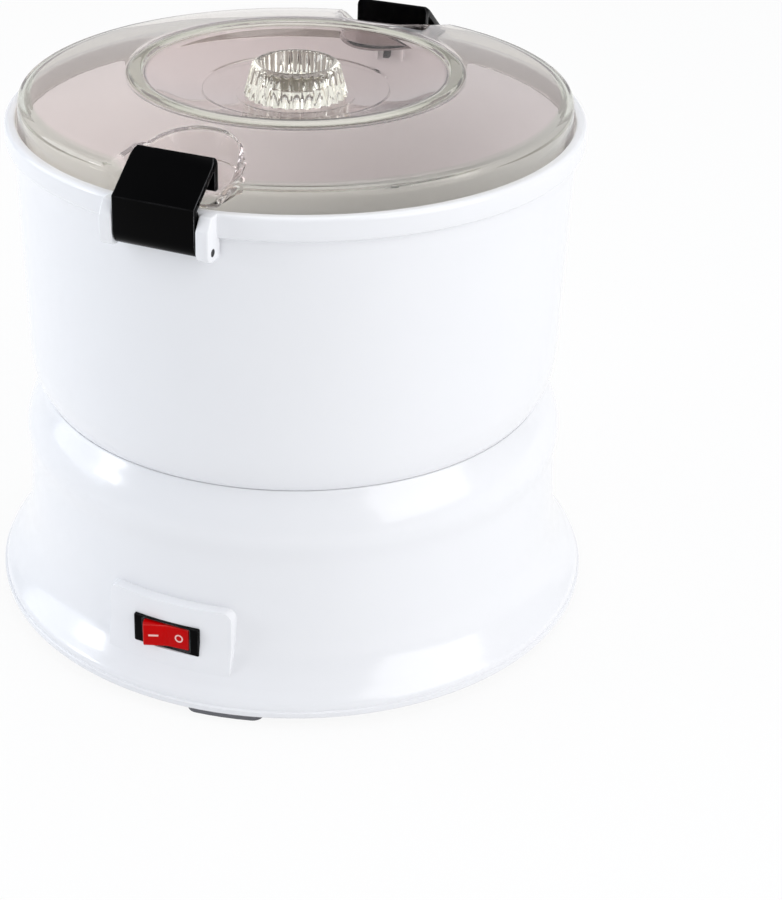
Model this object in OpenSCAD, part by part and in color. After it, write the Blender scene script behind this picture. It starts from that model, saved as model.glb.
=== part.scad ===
// Electric potato peeler: a geared motor in a flared base turns a peeling disc in a lift-off bowl,
// under a clear lid that two hinged latches hold down.
// Origin: centre of the underside, on the table. +Z up, the switch and the front latch face -Y.

/* [Base] */
// Outside radius of the bottom plate
base_r = 128; // [124:1:132]
// Thickness of the bottom plate
plate_t = 3; // [2.5:0.5:4]
// Height of the feet under the bottom plate
foot_h = 4.5; // [3:0.5:8]
// Length of a foot along the edge of the base
foot_w = 31; // [20:1:40]
// How far the housing's waist is drawn in from the bottom plate's edge
waist_in = 14.6; // [12:0.2:17]
// Height of the rim that the bowl stands on
seat_z = 95; // [92:1:105]
// How far that rim is drawn in from the waist
seat_in = 7; // [6.6:0.1:7.6]
// Wall of the housing
housing_wall = 2.5; // [2:0.1:3]

/* [Bowl] */
// How far the bowl's wall swells out above the seam
bowl_swell = 5.1; // [4.6:0.1:5.6]
// How much wider the bowl's wall is under the rim than at its foot
bowl_lean = 1.9; // [1:0.1:3]
// Height of the bowl's rim above the table
rim_z = 212; // [190:1:235]
// How far the rim stands out from the wall
rim_out = 3.6; // [3.2:0.1:4]
// Height of the rim's outer band
rim_h = 10; // [8:0.5:11]
// Wall of the bowl
bowl_wall = 2.5; // [2:0.1:3]

/* [Lid] */
// Height of the lid's outer edge above the bowl's rim
lid_edge_h = 9; // [7:0.5:11]
// Rise from the lid's outer edge to its raised ring
lid_rise = 8.4; // [7:0.2:10]
// Wall of the lid
lid_wall = 2.2; // [1.8:0.1:2.6]
// Radius of the raised ring
crest_r = 64.3; // [60:0.5:67]
// Depth of the centre of the lid below the raised ring
dish_depth = 11.2; // [9:0.2:12]
// Radius of the knob at its foot
knob_r = 21; // [18:0.5:24]
// Height of the knob
knob_h = 13; // [11:0.5:16]
// Number of flutes round the knob
knob_flutes = 28; // [20:1:32]

/* [Latches] */
// Width of a latch
latch_w = 33; // [28:1:36]
// How far a latch's hinge pin lies outside the rim
hinge_out = 1; // [0.9:0.1:1.6]
// Wall of a latch
latch_wall = 2.4; // [2:0.1:2.6]
// Radius of the hinge pin
pin_r = 1.5; // [1.2:0.1:1.8]

/* [Switch] */
// Length of the switch's frame
bezel_w = 30; // [28:0.5:32]
// Height of the switch's frame
bezel_h = 13.6; // [13.2:0.2:15]
// Height of the middle of the switch above the table
switch_z = 30.3; // [28:0.5:32]
// Angle of the rocker at rest, with its right end pressed in
rocker_tilt = 13; // [10:1:14]

/* [Peeling disc] */
// Gap between the peeling disc and the bowl's wall
disc_gap = 5; // [3:0.5:12]
// Height of the upper face of the disc above the bowl's floor
disc_rise = 13; // [12:0.5:14]
// Number of raised ridges on the disc
ridges = 3; // [2:1:5]

/* [Drive] */
// Tooth size (module) of the gears
gear_module = 1.5; // [1.4:0.05:1.6]
// Teeth on the motor's pinion
pinion_teeth = 18; // [18:2:20]
// Teeth on the output gear
gear_teeth = 62; // [56:2:62]
// Radius of the output shaft and the bowl's spindle
shaft_r = 5; // [4.5:0.1:5.5]
// Radius of the motor's stack of laminations
stator_r = 38; // [36:0.5:39]

/* [Hidden] */

$fn = 96;
eps = 0.01;
gap = 0.3;              // standing clearance between pieces that part or slide
run = 0.05;             // running clearance of a shaft in its bush
joint = 0.02;           // clearance of a piece that is pushed on or screwed in
big = 400;

plate_z = foot_h;
floor_z = plate_z + plate_t;                     // underside of the housing, top of the plate
waist_r = base_r - waist_in;
shoulder_r = waist_r + 1;                        // rounded shoulder under the bowl
seat_r = waist_r - seat_in;                      // rim that the bowl stands on
bowl_low_r = seat_r + bowl_swell;                // bowl's wall at its foot
bowl_top_r = bowl_low_r + bowl_lean;             // and under its rim
rim_r = bowl_top_r + rim_out;
disc_r = bowl_low_r - bowl_wall - disc_gap;
deck_drop = 7.3;                                 // deck of the housing below its rim
deck_z = seat_z - deck_drop;
deck_t = 2.5;
rim_wall = 2.1;                                  // the housing's rim, from its face to the seat
seat_bore = seat_r - rim_wall;
bowl_z = seat_z + gap;                           // lowest edge of the bowl's outer wall
bowl_floor_z = seat_z + 2.5;
bowl_floor_t = 2.5;
rim_bore = rim_r - 4.4;                          // inside of the rim, where the lid drops in
ledge_drop = 7.5;                                // ledge for the lid, below the rim
ledge_z = rim_z - ledge_drop;
lid_r = rim_bore - 0.4;
lid_z = ledge_z + gap;
lid_edge_z = rim_z + lid_edge_h;
crest_z = lid_edge_z + lid_rise;
dish_z = crest_z - dish_depth;
rim_low = rim_z - rim_h;
barrel_r = pin_r + 1.8;                          // latch round its pin
hinge_r = rim_r + hinge_out;
hinge_z = rim_low - barrel_r - 0.2;
motor_x = gear_module * (gear_teeth + pinion_teeth) / 2;
bush_wall = 3;
flange_t = 1.5;                                  // flange of a bush
bush_r = shaft_r + bush_wall;

// ---- curves -------------------------------------------------------------------------------

// One span of a smooth curve through the points b and c, with a and d beyond them
function span_point(a, b, c, d, t) =
    0.5 * (2 * b + (c - a) * t + (2 * a - 5 * b + 4 * c - d) * t * t
        + (3 * b - a - 3 * c + d) * t * t * t);

// A smooth curve through all of the points
function smooth(p, steps = 4) = [
    for (i = [0 : len(p) - 2], s = [0 : steps - 1])
        span_point(p[max(i - 1, 0)], p[i], p[i + 1], p[min(i + 2, len(p) - 1)], s / steps),
    p[len(p) - 1]
];

// Points of an arc round c from angle a to angle b
function arc(c, r, a, b, n = 6) = [
    for (i = [0 : n]) c + r * [cos(a + (b - a) * i / n), sin(a + (b - a) * i / n)]
];

function shifted(p, d) = [for (q = p) q + d];
function reversed(p) = [for (i = [len(p) - 1 : -1 : 0]) p[i]];

module ring(outer, inner, z0, z1) {
    translate([0, 0, z0]) difference() {
        cylinder(r = outer, h = z1 - z0);
        translate([0, 0, -1]) cylinder(r = inner, h = z1 - z0 + 2);
    }
}

module rod(r, z0, z1) {
    translate([0, 0, z0]) cylinder(r = r, h = z1 - z0);
}

// Rounded rectangle round the origin
module rounded(w, h, r) {
    square([w - 2 * r, h], center = true);
    square([w, h - 2 * r], center = true);
    for (x = [-1, 1], y = [-1, 1])
        translate([x * (w / 2 - r), y * (h / 2 - r)]) circle(r = r, $fn = 32);
}

// Lays a drawing of (distance from the middle, height) across the front of the object
module across_front(w) {
    rotate([90, 0, -90]) translate([0, 0, -w / 2]) linear_extrude(w) children();
}

// Stands a drawing of (x, height) on the front, from the distance y0 out to y1
module out_front(y0, y1) {
    translate([0, -y0, 0]) rotate([90, 0, 0]) linear_extrude(y1 - y0) children();
}

// ---- base ---------------------------------------------------------------------------------

flare = [
    [base_r - 0.8, floor_z], [base_r - 1.4, floor_z + 2.5], [base_r - 5, floor_z + 7],
    [waist_r + waist_in * 0.34, floor_z + 14.5], [waist_r + waist_in * 0.15, floor_z + 23.5],
    [waist_r + waist_in * 0.06, floor_z + 35.5], [waist_r + 0.2, seat_z - 39],
    [waist_r, seat_z - 29], [shoulder_r, seat_z - 20.5],
    [shoulder_r - 0.8, seat_z - 15], [shoulder_r - 3.3, seat_z - 8.5], [seat_r + 1.2, seat_z - 2.5],
    [seat_r, seat_z]
];
housing_curve = smooth(flare);
tower_r = bush_r + 6;
tower_top = deck_z + 2.6;
tower_low = deck_z - deck_t - 6;
under_deck = deck_z - deck_t;
seat_back = seat_bore + 2.2;                     // back of the seat's upright wall

housing_section = concat(
    housing_curve,
    [[seat_bore, seat_z], [seat_bore, deck_z], [tower_r, deck_z], [tower_r, tower_top],
     [bush_r + joint, tower_top], [bush_r + joint, tower_low], [tower_r, tower_low],
     [tower_r, under_deck], [seat_back, under_deck]],
    reversed([for (p = housing_curve) if (p[0] - housing_wall > seat_back || p[1] < seat_z - 12)
        p - [housing_wall, 0]])
);

post_r = 4.5;
base_posts = [for (a = [45 : 90 : 315]) (waist_r - 15.4) * [cos(a), sin(a)]];
gear_tip = gear_module * (gear_teeth / 2 + 1);
post_x = -0.65 * (gear_tip + post_r + 5.6);      // posts of the motor's plate, clear of the gear
post_far_x = motor_x + 22;
post_y = 44;
plate_posts = [for (x = [post_x, post_far_x], y = [-post_y, post_y]) [x, y]];
gear_room = 22.7;                                // height between the motor's plate and the deck
plate_top = deck_z - deck_t - gear_room;         // top of the motor's mounting plate
motor_plate_t = 2.5;
screw_r = 1.55;
screw_bore = 1.6;
pad_y = waist_r + 5.8;                           // flat face of the raised panel round the switch
pad_w = 60;
pad_top = switch_z + 15.7;                        // top of that panel
pad_round = 2;
bezel_t = 1.8;
switch_w = bezel_w - 3.6;
switch_h = bezel_h - 1.8;
gland_z = 28;
gland_r = 6;
gland_out = waist_r + 7.6;                       // outer face of the gland's boss
gland_in = waist_r - 1.4;
keys = [60, 180, 300];                           // keys that stop the bowl from turning
key_w = 8;
key_h = 4;

module switch_panel() {
    steps = 4;
    for (i = [0 : steps]) {
        inset = pad_round * (1 - sin(90 * (steps - i) / steps));
        face = pad_y - pad_round * (1 - cos(90 * (steps - i) / steps));
        out_front(housing_wall, face) translate([0, (pad_top + floor_z + 3) / 2])
            rounded(pad_w - 2 * inset, pad_top - floor_z - 3 - 2 * inset, 4);
    }
}

module base_housing() {
    color("white") difference() {
        union() {
            rotate_extrude() polygon(housing_section);
            difference() {
                switch_panel();
                rod(waist_r - housing_wall - 1, 0, big);
            }
            for (p = base_posts) translate(p) rod(post_r, floor_z + gap, under_deck + 1);
            for (p = plate_posts) translate(p) rod(post_r, plate_top, under_deck + 1);
            for (a = keys) rotate([0, 0, a]) translate([seat_bore - 2.4, -key_w / 2, deck_z - 1])
                cube([3.4, key_w, key_h + 1]);
            translate([0, gland_out, gland_z]) rotate([90, 0, 0])
                rod(gland_r + 3, 0, gland_out - gland_in);
        }
        out_front(waist_r - 13, pad_y - housing_wall)
            translate([0, (floor_z + 5.5 + pad_top - housing_wall) / 2])
            square([pad_w - 2 * housing_wall, pad_top - housing_wall - floor_z - 5.5],
                center = true);
        out_front(waist_r - 24, base_r) translate([0, switch_z])
            square([switch_w + 0.2, switch_h + 0.2], center = true);
        translate([0, gland_out + 1, gland_z]) rotate([90, 0, 0]) rod(gland_r + joint, 0, 20);
        for (p = base_posts) translate(p) rod(screw_bore, floor_z - 1, floor_z + 14);
        for (p = plate_posts) translate(p) rod(screw_bore, plate_top - 1, plate_top + 12);
    }
}

foot_angles = [12 : 90 : 282];                   // measured from the front
foot_depth = 9;
foot_ring = base_r - 4 - foot_depth / 2;
foot_turn = (foot_w - foot_depth) * 90 / (PI * foot_ring);
stem_r = 2.6;
stem_turn = foot_turn * 0.7;

module at_stems() {
    for (a = foot_angles, t = [-stem_turn, stem_turn]) rotate([0, 0, a + t])
        translate([0, -foot_ring, 0]) children();
}

module base_plate() {
    vents = 7;
    color("white") difference() {
        union() {
            rotate_extrude() polygon(concat(
                [[0, plate_z], [base_r - 1, plate_z]], arc([base_r - 1, plate_z + 1], 1, -60, 0, 3),
                [[base_r, floor_z - 0.4], [base_r - 0.6, floor_z], [0, floor_z]]));
            difference() {
                ring(base_r - 5, base_r - 7, floor_z - 1, floor_z + 2.5);
                at_stems() rod(stem_r + 1 + gap, 0, big);
            }
        }
        at_stems() rod(stem_r + joint, 0, big);
        for (p = base_posts) translate(p) {
            rod(2, 0, big);
            rod(4, plate_z - 1, plate_z + 1.2);
        }
        for (i = [0 : vents - 1], side = [-1, 1])
            translate([side * 52, (i - (vents - 1) / 2) * 9, floor_z]) cube([44, 3, 20], center = true);
    }
}

// Curved bar with round ends, along the edge of the base
module foot_outline(depth) {
    r = depth / 2;
    wide = foot_ring * 1.2;
    intersection() {
        difference() {
            circle(r = foot_ring + r);
            circle(r = foot_ring - r);
        }
        polygon([[0, 0], wide * [-sin(foot_turn), -cos(foot_turn)], [0, -wide],
            wide * [sin(foot_turn), -cos(foot_turn)]]);
    }
    for (t = [-foot_turn, foot_turn]) rotate(t) translate([0, -foot_ring]) circle(r = r, $fn = 48);
}

module feet() {
    color("dimgray") {
        for (a = foot_angles) rotate([0, 0, a]) difference() {
            linear_extrude(plate_z - joint) foot_outline(foot_depth);
            translate([0, 0, -1]) linear_extrude(2) foot_outline(foot_depth - 5);
        }
        at_stems() {
            rod(stem_r, plate_z - 1, floor_z + 1);
            rod(stem_r + 1, floor_z + joint, floor_z + 1.6);
        }
    }
}

base_screw_l = 16;
cross_w = 4.4;

module screw(shank, length, head, head_t) {
    rod(head, 0, head_t);
    rod(shank, head_t - eps, length);
}

// Cross recess of a screw's head
module cross() {
    for (a = [0, 90]) rotate([0, 0, a]) cube([1, cross_w, 1.6], center = true);
}

module base_screws() {
    color("silver") for (p = base_posts) translate([p[0], p[1], plate_z - 0.6]) difference() {
        screw(screw_r, base_screw_l, 3.6, 1.7);
        cross();
    }
}

module cord_gland() {
    bore = 3.75;
    color("black") translate([0, gland_out, gland_z]) rotate([-90, 0, 0]) difference() {
        union() {
            rod(8.6, 0.02, 1.5);
            translate([0, 0, 1.5]) cylinder(r1 = 8.6, r2 = 6.2, h = 2);
            rod(gland_r, -(gland_out - gland_in) - 0.5, 0.5);
            translate([0, 0, gland_in - gland_out - 2.5])
                cylinder(r1 = gland_r - 0.4, r2 = gland_r + 0.7, h = 2.45);
        }
        rod(bore, -20, 10);
    }
}

// ---- switch -------------------------------------------------------------------------------

rocker_gap = 0.2;
bezel_bar = 4.5;                                 // face of the frame beside the rocker's ends
bezel_edge = 1.75;                               // and above and below it
rocker_end_r = bezel_w / 2 - bezel_bar - rocker_gap;
rocker_h = bezel_h - 2 * (bezel_edge + rocker_gap);
pivot_y = pad_y + bezel_t - 3.2;                 // pivot, behind the face of the frame
switch_back = pad_y - 20;

module switch_frame() {
    color("black") difference() {
        union() {
            out_front(pad_y + joint, pad_y + bezel_t - 0.5)
                translate([0, switch_z]) rounded(bezel_w, bezel_h, 0.6);
            out_front(pad_y + bezel_t - 0.6, pad_y + bezel_t)
                translate([0, switch_z]) rounded(bezel_w - 0.8, bezel_h - 0.8, 0.6);
            out_front(switch_back, pad_y + 1) translate([0, switch_z])
                square([switch_w, switch_h], center = true);
        }
        out_front(pad_y + bezel_t - 0.5, base_r) translate([0, switch_z])
            square([2 * rocker_end_r + 1.4, rocker_h + 1.4], center = true);
        translate([0, -pivot_y, switch_z])
            rod(rocker_end_r + rocker_gap, -rocker_h / 2 - rocker_gap, rocker_h / 2 + rocker_gap);
        out_front(pivot_y, base_r) translate([0, switch_z])
            square([2 * (rocker_end_r + rocker_gap), rocker_h + 2 * rocker_gap], center = true);
        translate([0, -pivot_y, switch_z]) rod(1 + run, -rocker_h / 2 - 1, rocker_h / 2 + 1);
    }
}

module switch_rocker() {
    valley = 3.3;                                // middle and ends of its face, from the pivot
    peak = 4.8;
    wide = rocker_end_r + 2;
    color("red") translate([0, -pivot_y, switch_z]) rotate([0, 0, rocker_tilt]) {
        translate([0, 0, -rocker_h / 2]) linear_extrude(rocker_h) intersection() {
            circle(r = rocker_end_r);
            polygon([[-wide, -peak], [0, -valley], [wide, -peak], [wide, 2], [4, 5], [-4, 5], [-wide, 2]]);
        }
        rod(1, -rocker_h / 2 - 0.9, rocker_h / 2 + 0.9);
    }
}

module switch_terminals() {
    long = 8;
    color("goldenrod") for (x = [-8, 0, 8])
        translate([x, -switch_back + long / 2 + joint, switch_z]) difference() {
            cube([0.8, long, 6.3], center = true);
            translate([0, 1, 0]) rotate([0, 90, 0]) cylinder(r = 0.9, h = 4, center = true);
        }
}

// ---- motor and gears ----------------------------------------------------------------------

plate_low = plate_top - motor_plate_t;
fan_z = floor_z + 2.2;
fan_h = 4.4;
bracket_t = 2.5;
bracket_z = fan_z + fan_h + 3.2;
stator_z = bracket_z + bracket_t + 7;
stator_h = plate_low - 9 - stator_z;             // the stack fills the height that is left
bolt_ring = stator_r - 3.4;
bolt_angles = [45 : 90 : 315];
bolt_r = 1.9;
rotor_r = 17.1;
motor_shaft_r = 4;
motor_bush_r = 7;
gear_z = plate_top + 3.5;
gear_t = 8;
gear_hub_r = 12;

module at_motor() {
    translate([motor_x, 0, 0]) children();
}

plate_rim = 6;                                   // plate outside the middles of its screws
vent_r = 7;
vent_x = 25;
vent_y = 30;

module motor_plate() {
    color("lightgray") difference() {
        translate([0, 0, plate_low]) linear_extrude(motor_plate_t) intersection() {
            translate([(post_x + post_far_x) / 2, 0])
                rounded(post_far_x - post_x + 2 * plate_rim, 2 * (post_y + plate_rim), 5);
            circle(r = waist_r - housing_wall - 3);
        }
        rod(bush_r + joint, 0, big);
        at_motor() rod(motor_bush_r + joint, 0, big);
        at_motor() for (a = bolt_angles) rotate([0, 0, a]) translate([bolt_ring, 0, 0])
            rod(bolt_r + 0.1, 0, big);
        for (p = plate_posts) translate(p) rod(1.9, 0, big);
        for (x = [-vent_x, vent_x], y = [-vent_y, vent_y]) translate([x, y, 0]) rod(vent_r, 0, big);
    }
}

plate_screw_l = 14;

module plate_screws() {
    color("silver") for (p = plate_posts) translate([p[0], p[1], plate_low - 2.2 - joint]) difference() {
        screw(screw_r, plate_screw_l, 3.4, 2.2);
        cross();
    }
}

slots = 8;
slot_w = 6;
slot_depth = 12;

module motor_stator() {
    color("dimgray") at_motor() difference() {
        rod(stator_r, stator_z, stator_z + stator_h);
        rod(rotor_r + 0.4, 0, big);
        for (i = [0 : slots - 1]) rotate([0, 0, i * 360 / slots + 22.5])
            translate([rotor_r - 1, -slot_w / 2, 0]) cube([slot_depth + 1, slot_w, big]);
        for (a = bolt_angles) rotate([0, 0, a]) translate([bolt_ring, 0, 0]) rod(bolt_r + 0.1, 0, big);
    }
}

module motor_windings() {
    low = stator_z - 6;
    high = stator_z + stator_h + 6;
    color("peru") at_motor() {
        for (i = [0 : slots - 1]) rotate([0, 0, i * 360 / slots + 22.5])
            translate([rotor_r + 2, gap - slot_w / 2, low + 1])
                cube([9.4, slot_w - 2 * gap, high - low - 2]);
        for (z = [low, high - 5.7]) translate([0, 0, z]) rotate_extrude()
            translate([rotor_r + 2, 0]) polygon([[0, 1.2], [1.2, 0], [8, 0], [9.4, 1.4], [9.4, 4.3],
                [8, 5.7], [1.2, 5.7], [0, 4.5]]);
    }
}

module motor_bracket() {
    color("lightgray") at_motor() difference() {
        union() {
            for (a = [45, 135]) rotate([0, 0, a]) translate([0, 0, bracket_z])
                linear_extrude(bracket_t) rounded(2 * stator_r, 12, 5);
            rod(motor_bush_r + 4, bracket_z, bracket_z + bracket_t);
        }
        rod(motor_bush_r + joint, 0, big);
        for (a = bolt_angles) rotate([0, 0, a]) translate([bolt_ring, 0, 0]) rod(bolt_r + 0.1, 0, big);
    }
}

module motor_spacers() {
    color("gray") at_motor() for (a = bolt_angles) rotate([0, 0, a]) translate([bolt_ring, 0, 0]) {
        ring(3.2, bolt_r + 0.1, bracket_z + bracket_t + joint, stator_z - joint);
        ring(3.2, bolt_r + 0.1, stator_z + stator_h + joint, plate_low - joint);
    }
}

module motor_bolts() {
    color("silver") at_motor() for (a = bolt_angles) rotate([0, 0, a])
        translate([bolt_ring, 0, bracket_z - 2.5 - joint]) difference() {
            screw(bolt_r, plate_top + 5.6 - bracket_z, 3.2, 2.5);
            cube([0.9, 10, 1.8], center = true);
        }
}

module motor_nuts() {
    color("silver") at_motor() for (a = bolt_angles) rotate([0, 0, a])
        translate([bolt_ring, 0, plate_top + joint]) difference() {
            cylinder(r = 3.5, h = 2.8, $fn = 6);
            rod(bolt_r + joint, -1, 4);
        }
}

// A plain bush with a flange at its lower end
module bush(bore, outer, z0, z1) {
    ring(outer, bore + run, z0, z1);
    ring(outer + 2, bore + run, z0, z0 + flange_t);
}

module motor_bushes() {
    color("darkgoldenrod") at_motor() {
        bush(motor_shaft_r, motor_bush_r, bracket_z - flange_t - joint, bracket_z + 4);
        bush(motor_shaft_r, motor_bush_r, plate_low - flange_t - joint, plate_top + 1);
    }
}

module motor_shaft() {
    color("silver") at_motor() rod(motor_shaft_r, fan_z, gear_z + gear_t + 1.5);
}

module motor_rotor() {
    color("slategray") at_motor() {
        ring(rotor_r, motor_shaft_r + joint, stator_z, stator_z + stator_h);
        ring(rotor_r - 1.5, motor_shaft_r + joint, stator_z - 2.5, stator_z + stator_h + 2.5);
    }
}

module motor_fan() {
    blades = 9;
    color("white") at_motor() {
        ring(7.5, motor_shaft_r + joint, fan_z + 0.2, fan_z + fan_h + 0.4);
        for (i = [0 : blades - 1]) rotate([0, 0, i * 360 / blades])
            translate([6.5, -0.6, fan_z + 0.6]) cube([20, 1.2, fan_h - 0.4]);
        ring(27.5, 25.5, fan_z + 0.2, fan_z + 1.4);
    }
}

// Outline of a spur gear, as involute teeth; a tooth points along +X
pressure = 20;
function involute(a) = tan(a) * 180 / PI - a;
function flank_angle(r, n, backlash) =
    let (pitch = gear_module * n / 2, base = pitch * cos(pressure))
    90 / n - backlash * 90 / (PI * pitch) + involute(pressure)
        - (r <= base ? 0 : involute(acos(base / r)));
function gear_outline(n, backlash = 0.16) =
    let (pitch = gear_module * n / 2, root = pitch - 1.25 * gear_module, tip = pitch + gear_module,
         base = pitch * cos(pressure), low = max(base, root + 0.2),
         radii = [root, low, low + (tip - low) / 3, low + (tip - low) * 2 / 3, tip])
    [for (i = [0 : n - 1], side = [-1, 1], k = [0 : len(radii) - 1])
        let (r = radii[side < 0 ? k : len(radii) - 1 - k],
             a = i * 360 / n + side * flank_angle(r, n, backlash))
        r * [cos(a), sin(a)]];

module motor_pinion() {
    color("ivory") at_motor() difference() {
        translate([0, 0, gear_z - 0.5]) rotate([0, 0, 180])
            linear_extrude(gear_t + 1) polygon(gear_outline(pinion_teeth));
        rod(motor_shaft_r + joint, 0, big);
    }
}

module output_gear() {
    holes = 6;
    color("ivory") difference() {
        union() {
            translate([0, 0, gear_z]) rotate([0, 0, 180 / gear_teeth])
                linear_extrude(gear_t) polygon(gear_outline(gear_teeth));
            rod(gear_hub_r, gear_z - 1.5, gear_z + gear_t + 2.5);
        }
        rod(shaft_r + joint, 0, big);
        ring(gear_module * gear_teeth / 2 - 6, gear_hub_r, gear_z + gear_t - 2.5, big);
        for (i = [0 : holes - 1]) rotate([0, 0, i * 360 / holes]) translate([27, 0, 0]) rod(7, 0, big);
    }
}

clip_z = plate_low - 4.5;

module output_shaft() {
    color("silver") difference() {
        rod(shaft_r, clip_z - 1.5, deck_z + 6.3);
        ring(shaft_r + 1, shaft_r - 0.7, clip_z - 0.1, clip_z + 1.1);
    }
}

module output_clip() {
    color("gray") difference() {
        ring(shaft_r + 2.5, shaft_r - 0.6, clip_z, clip_z + 1);
        translate([0, -2, 0]) cube([big, 4, big]);
    }
}

module output_bushes() {
    color("darkgoldenrod") {
        bush(shaft_r, bush_r, plate_low - flange_t - joint, plate_top + 1);
        bush(shaft_r, bush_r, tower_low - flange_t - joint, tower_top);
    }
}

dog_r = 12.6;
dog_span = 52;
coupling_z = tower_top + 0.3;
coupling_t = 3.4;
dog_h = 4.4;

// Three driving dogs from z0 to z1, centred on the given angle
module dogs(angle, z0, z1) {
    far = 2 * dog_r;
    for (i = [0 : 2]) rotate([0, 0, angle + 120 * i]) translate([0, 0, z0]) linear_extrude(z1 - z0)
        intersection() {
            difference() {
                circle(r = dog_r);
                circle(r = shaft_r + 1.2);
            }
            polygon([[0, 0], far * [cos(dog_span / 2), -sin(dog_span / 2)], far * [1, 0],
                far * [cos(dog_span / 2), sin(dog_span / 2)]]);
        }
}

module drive_coupling() {
    color("black") {
        ring(dog_r + 0.4, shaft_r + joint, coupling_z, coupling_z + coupling_t);
        dogs(0, coupling_z + 1, coupling_z + coupling_t + dog_h);
    }
}

// ---- bowl ---------------------------------------------------------------------------------

bowl_curve = smooth([
    [seat_r - 0.4, bowl_z], [bowl_low_r - 3.5, bowl_z + 3.2], [bowl_low_r - 1.6, bowl_z + 8.2],
    [bowl_low_r - 0.5, bowl_z + 13.7], [bowl_low_r, bowl_z + 20.7]
]);
foot_ring_r = seat_bore - gap;
foot_ring_wall = 2.6;
sleeve_r = 18;                                   // raised middle of the bowl, over the coupling
sleeve_t = 2.5;
sleeve_top = bowl_floor_z + 10.2;
bearing_r = bush_r + 4;
bearing_top = sleeve_top + 13.3;

bowl_outside = concat(
    bowl_curve,
    smooth([[bowl_top_r, rim_low - 1.2], [bowl_top_r + 0.5, rim_low - 0.2], [rim_r - 1.4, rim_low + 0.5],
        [rim_r - 0.3, rim_low + 1.4], [rim_r, rim_low + 3]], 3),
    arc([rim_r - 1.9, rim_z - 1.9], 1.9, 0, 90, 5),
    [[0, rim_z], [0, bowl_floor_z], [foot_ring_r - foot_ring_wall, bowl_floor_z],
     [foot_ring_r - foot_ring_wall, deck_z + gap], [foot_ring_r, deck_z + gap], [foot_ring_r, bowl_z]]
);

inner_low = bowl_floor_z + bowl_floor_t;
bowl_inside = concat(
    [[0, inner_low], [bowl_low_r - 10.5, inner_low]],
    smooth([[bowl_low_r - 8.5, inner_low + 0.2], [bowl_low_r - 5, inner_low + 3.5],
        [bowl_low_r - bowl_wall - 0.6, inner_low + 8.5], [bowl_low_r - bowl_wall, inner_low + 15]]),
    [[bowl_top_r - bowl_wall, ledge_z], [rim_bore, ledge_z], [rim_bore, rim_z - 0.8],
     [rim_bore + 0.8, rim_z + eps], [0, rim_z + eps]]
);

lug_gap = 0.4;
lug_w = 5.2;
lug_in = bowl_top_r - bowl_wall / 2;
lug_r = pin_r + 2.3;

module hinge_lugs() {
    for (s = [-1, 1]) translate([s * (latch_w / 2 + lug_gap + lug_w / 2), 0, 0]) across_front(lug_w) {
        polygon([[lug_in, hinge_z - lug_r], [hinge_r, hinge_z - lug_r], [hinge_r + lug_r, hinge_z],
            [hinge_r + lug_r, rim_z - 5], [hinge_r + 0.6, rim_z], [lug_in, rim_z]]);
        translate([hinge_r, hinge_z]) circle(r = lug_r);
    }
}

key_z = ledge_z - 6;
key_rib_h = 5.6;
key_depth = 2.6;

module bowl() {
    color("white") difference() {
        union() {
            rotate_extrude() polygon(bowl_outside);
            for (side = [0, 180]) rotate([0, 0, side]) hinge_lugs();
        }
        difference() {
            rotate_extrude() polygon(bowl_inside);
            rod(sleeve_r, 0, sleeve_top);
            rod(bearing_r, 0, bearing_top);
            for (x = [-9, 3]) translate([x - 0.6, bowl_top_r - bowl_wall - key_depth, key_z - 1])
                cube([1.2, 10, key_rib_h]);
        }
        rod(sleeve_r - sleeve_t, 0, sleeve_top - sleeve_t);
        rod(bush_r + joint, 0, big);
        for (a = keys) rotate([0, 0, a])
            translate([foot_ring_r - foot_ring_wall - 1, -key_w / 2 - gap, deck_z - 1])
                cube([foot_ring_wall + 1.01, key_w + 2 * gap, key_h + 1 + gap]);
        for (side = [0, 180]) rotate([0, 0, side]) translate([0, -hinge_r, hinge_z])
            rotate([0, 90, 0]) cylinder(r = pin_r + joint, h = 3 * latch_w, center = true, $fn = 32);
    }
}

bowl_bush_low = sleeve_top - sleeve_t - flange_t - joint;

module bowl_bush() {
    color("darkgoldenrod") bush(shaft_r, bush_r, bowl_bush_low, bearing_top);
}

module shaft_seal() {
    color("dimgray") rotate_extrude() polygon([
        [shaft_r + run, bearing_top + joint], [bearing_r - 1, bearing_top + joint],
        [bearing_r - 1, bearing_top + 1], [shaft_r + 2.4, bearing_top + 1.1],
        [shaft_r + 0.7, bearing_top + 2.2], [shaft_r + run, bearing_top + 2.2]]);
}

module lid_key() {
    arm = key_rib_h;
    color("black") translate([-5.5, bowl_top_r - bowl_wall - key_depth - 0.3, key_z]) {
        cube([2.6, key_depth, ledge_z - key_z - gap]);
        cube([2.6, key_depth - 1.2, arm + 2]);
        translate([0, 0, arm]) cube([6, key_depth - 1.2, 2]);
    }
}

module hinge_pin() {
    length = latch_w + 2 * (lug_gap + lug_w) - 0.2;
    color("black") translate([0, -hinge_r, hinge_z]) rotate([0, 90, 0])
        cylinder(r = pin_r, h = length, center = true, $fn = 32);
}

module front_hinge_pin() {
    hinge_pin();
}

module rear_hinge_pin() {
    rotate([0, 0, 180]) hinge_pin();
}

// ---- peeling disc -------------------------------------------------------------------------

driven_z = coupling_z + coupling_t + dog_h + 0.6;
driven_t = 3.8;
disc_top = bowl_floor_z + bowl_floor_t + disc_rise;
disc_t = 3.5;
disc_low = disc_top - disc_t;
hub_r = sleeve_r;
hub_top = bearing_top + 5;
pad_t = 1;
pad_in = 26;
pad_out = disc_r - 8;
ridge_r = 6;
ridge_in = pad_in + 6;
ridge_out = pad_out - 8;
ridge_low = 1.2;                                 // depth of a ridge's axis in the plate
nut_r = 11;
nut_h = 12;

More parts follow.
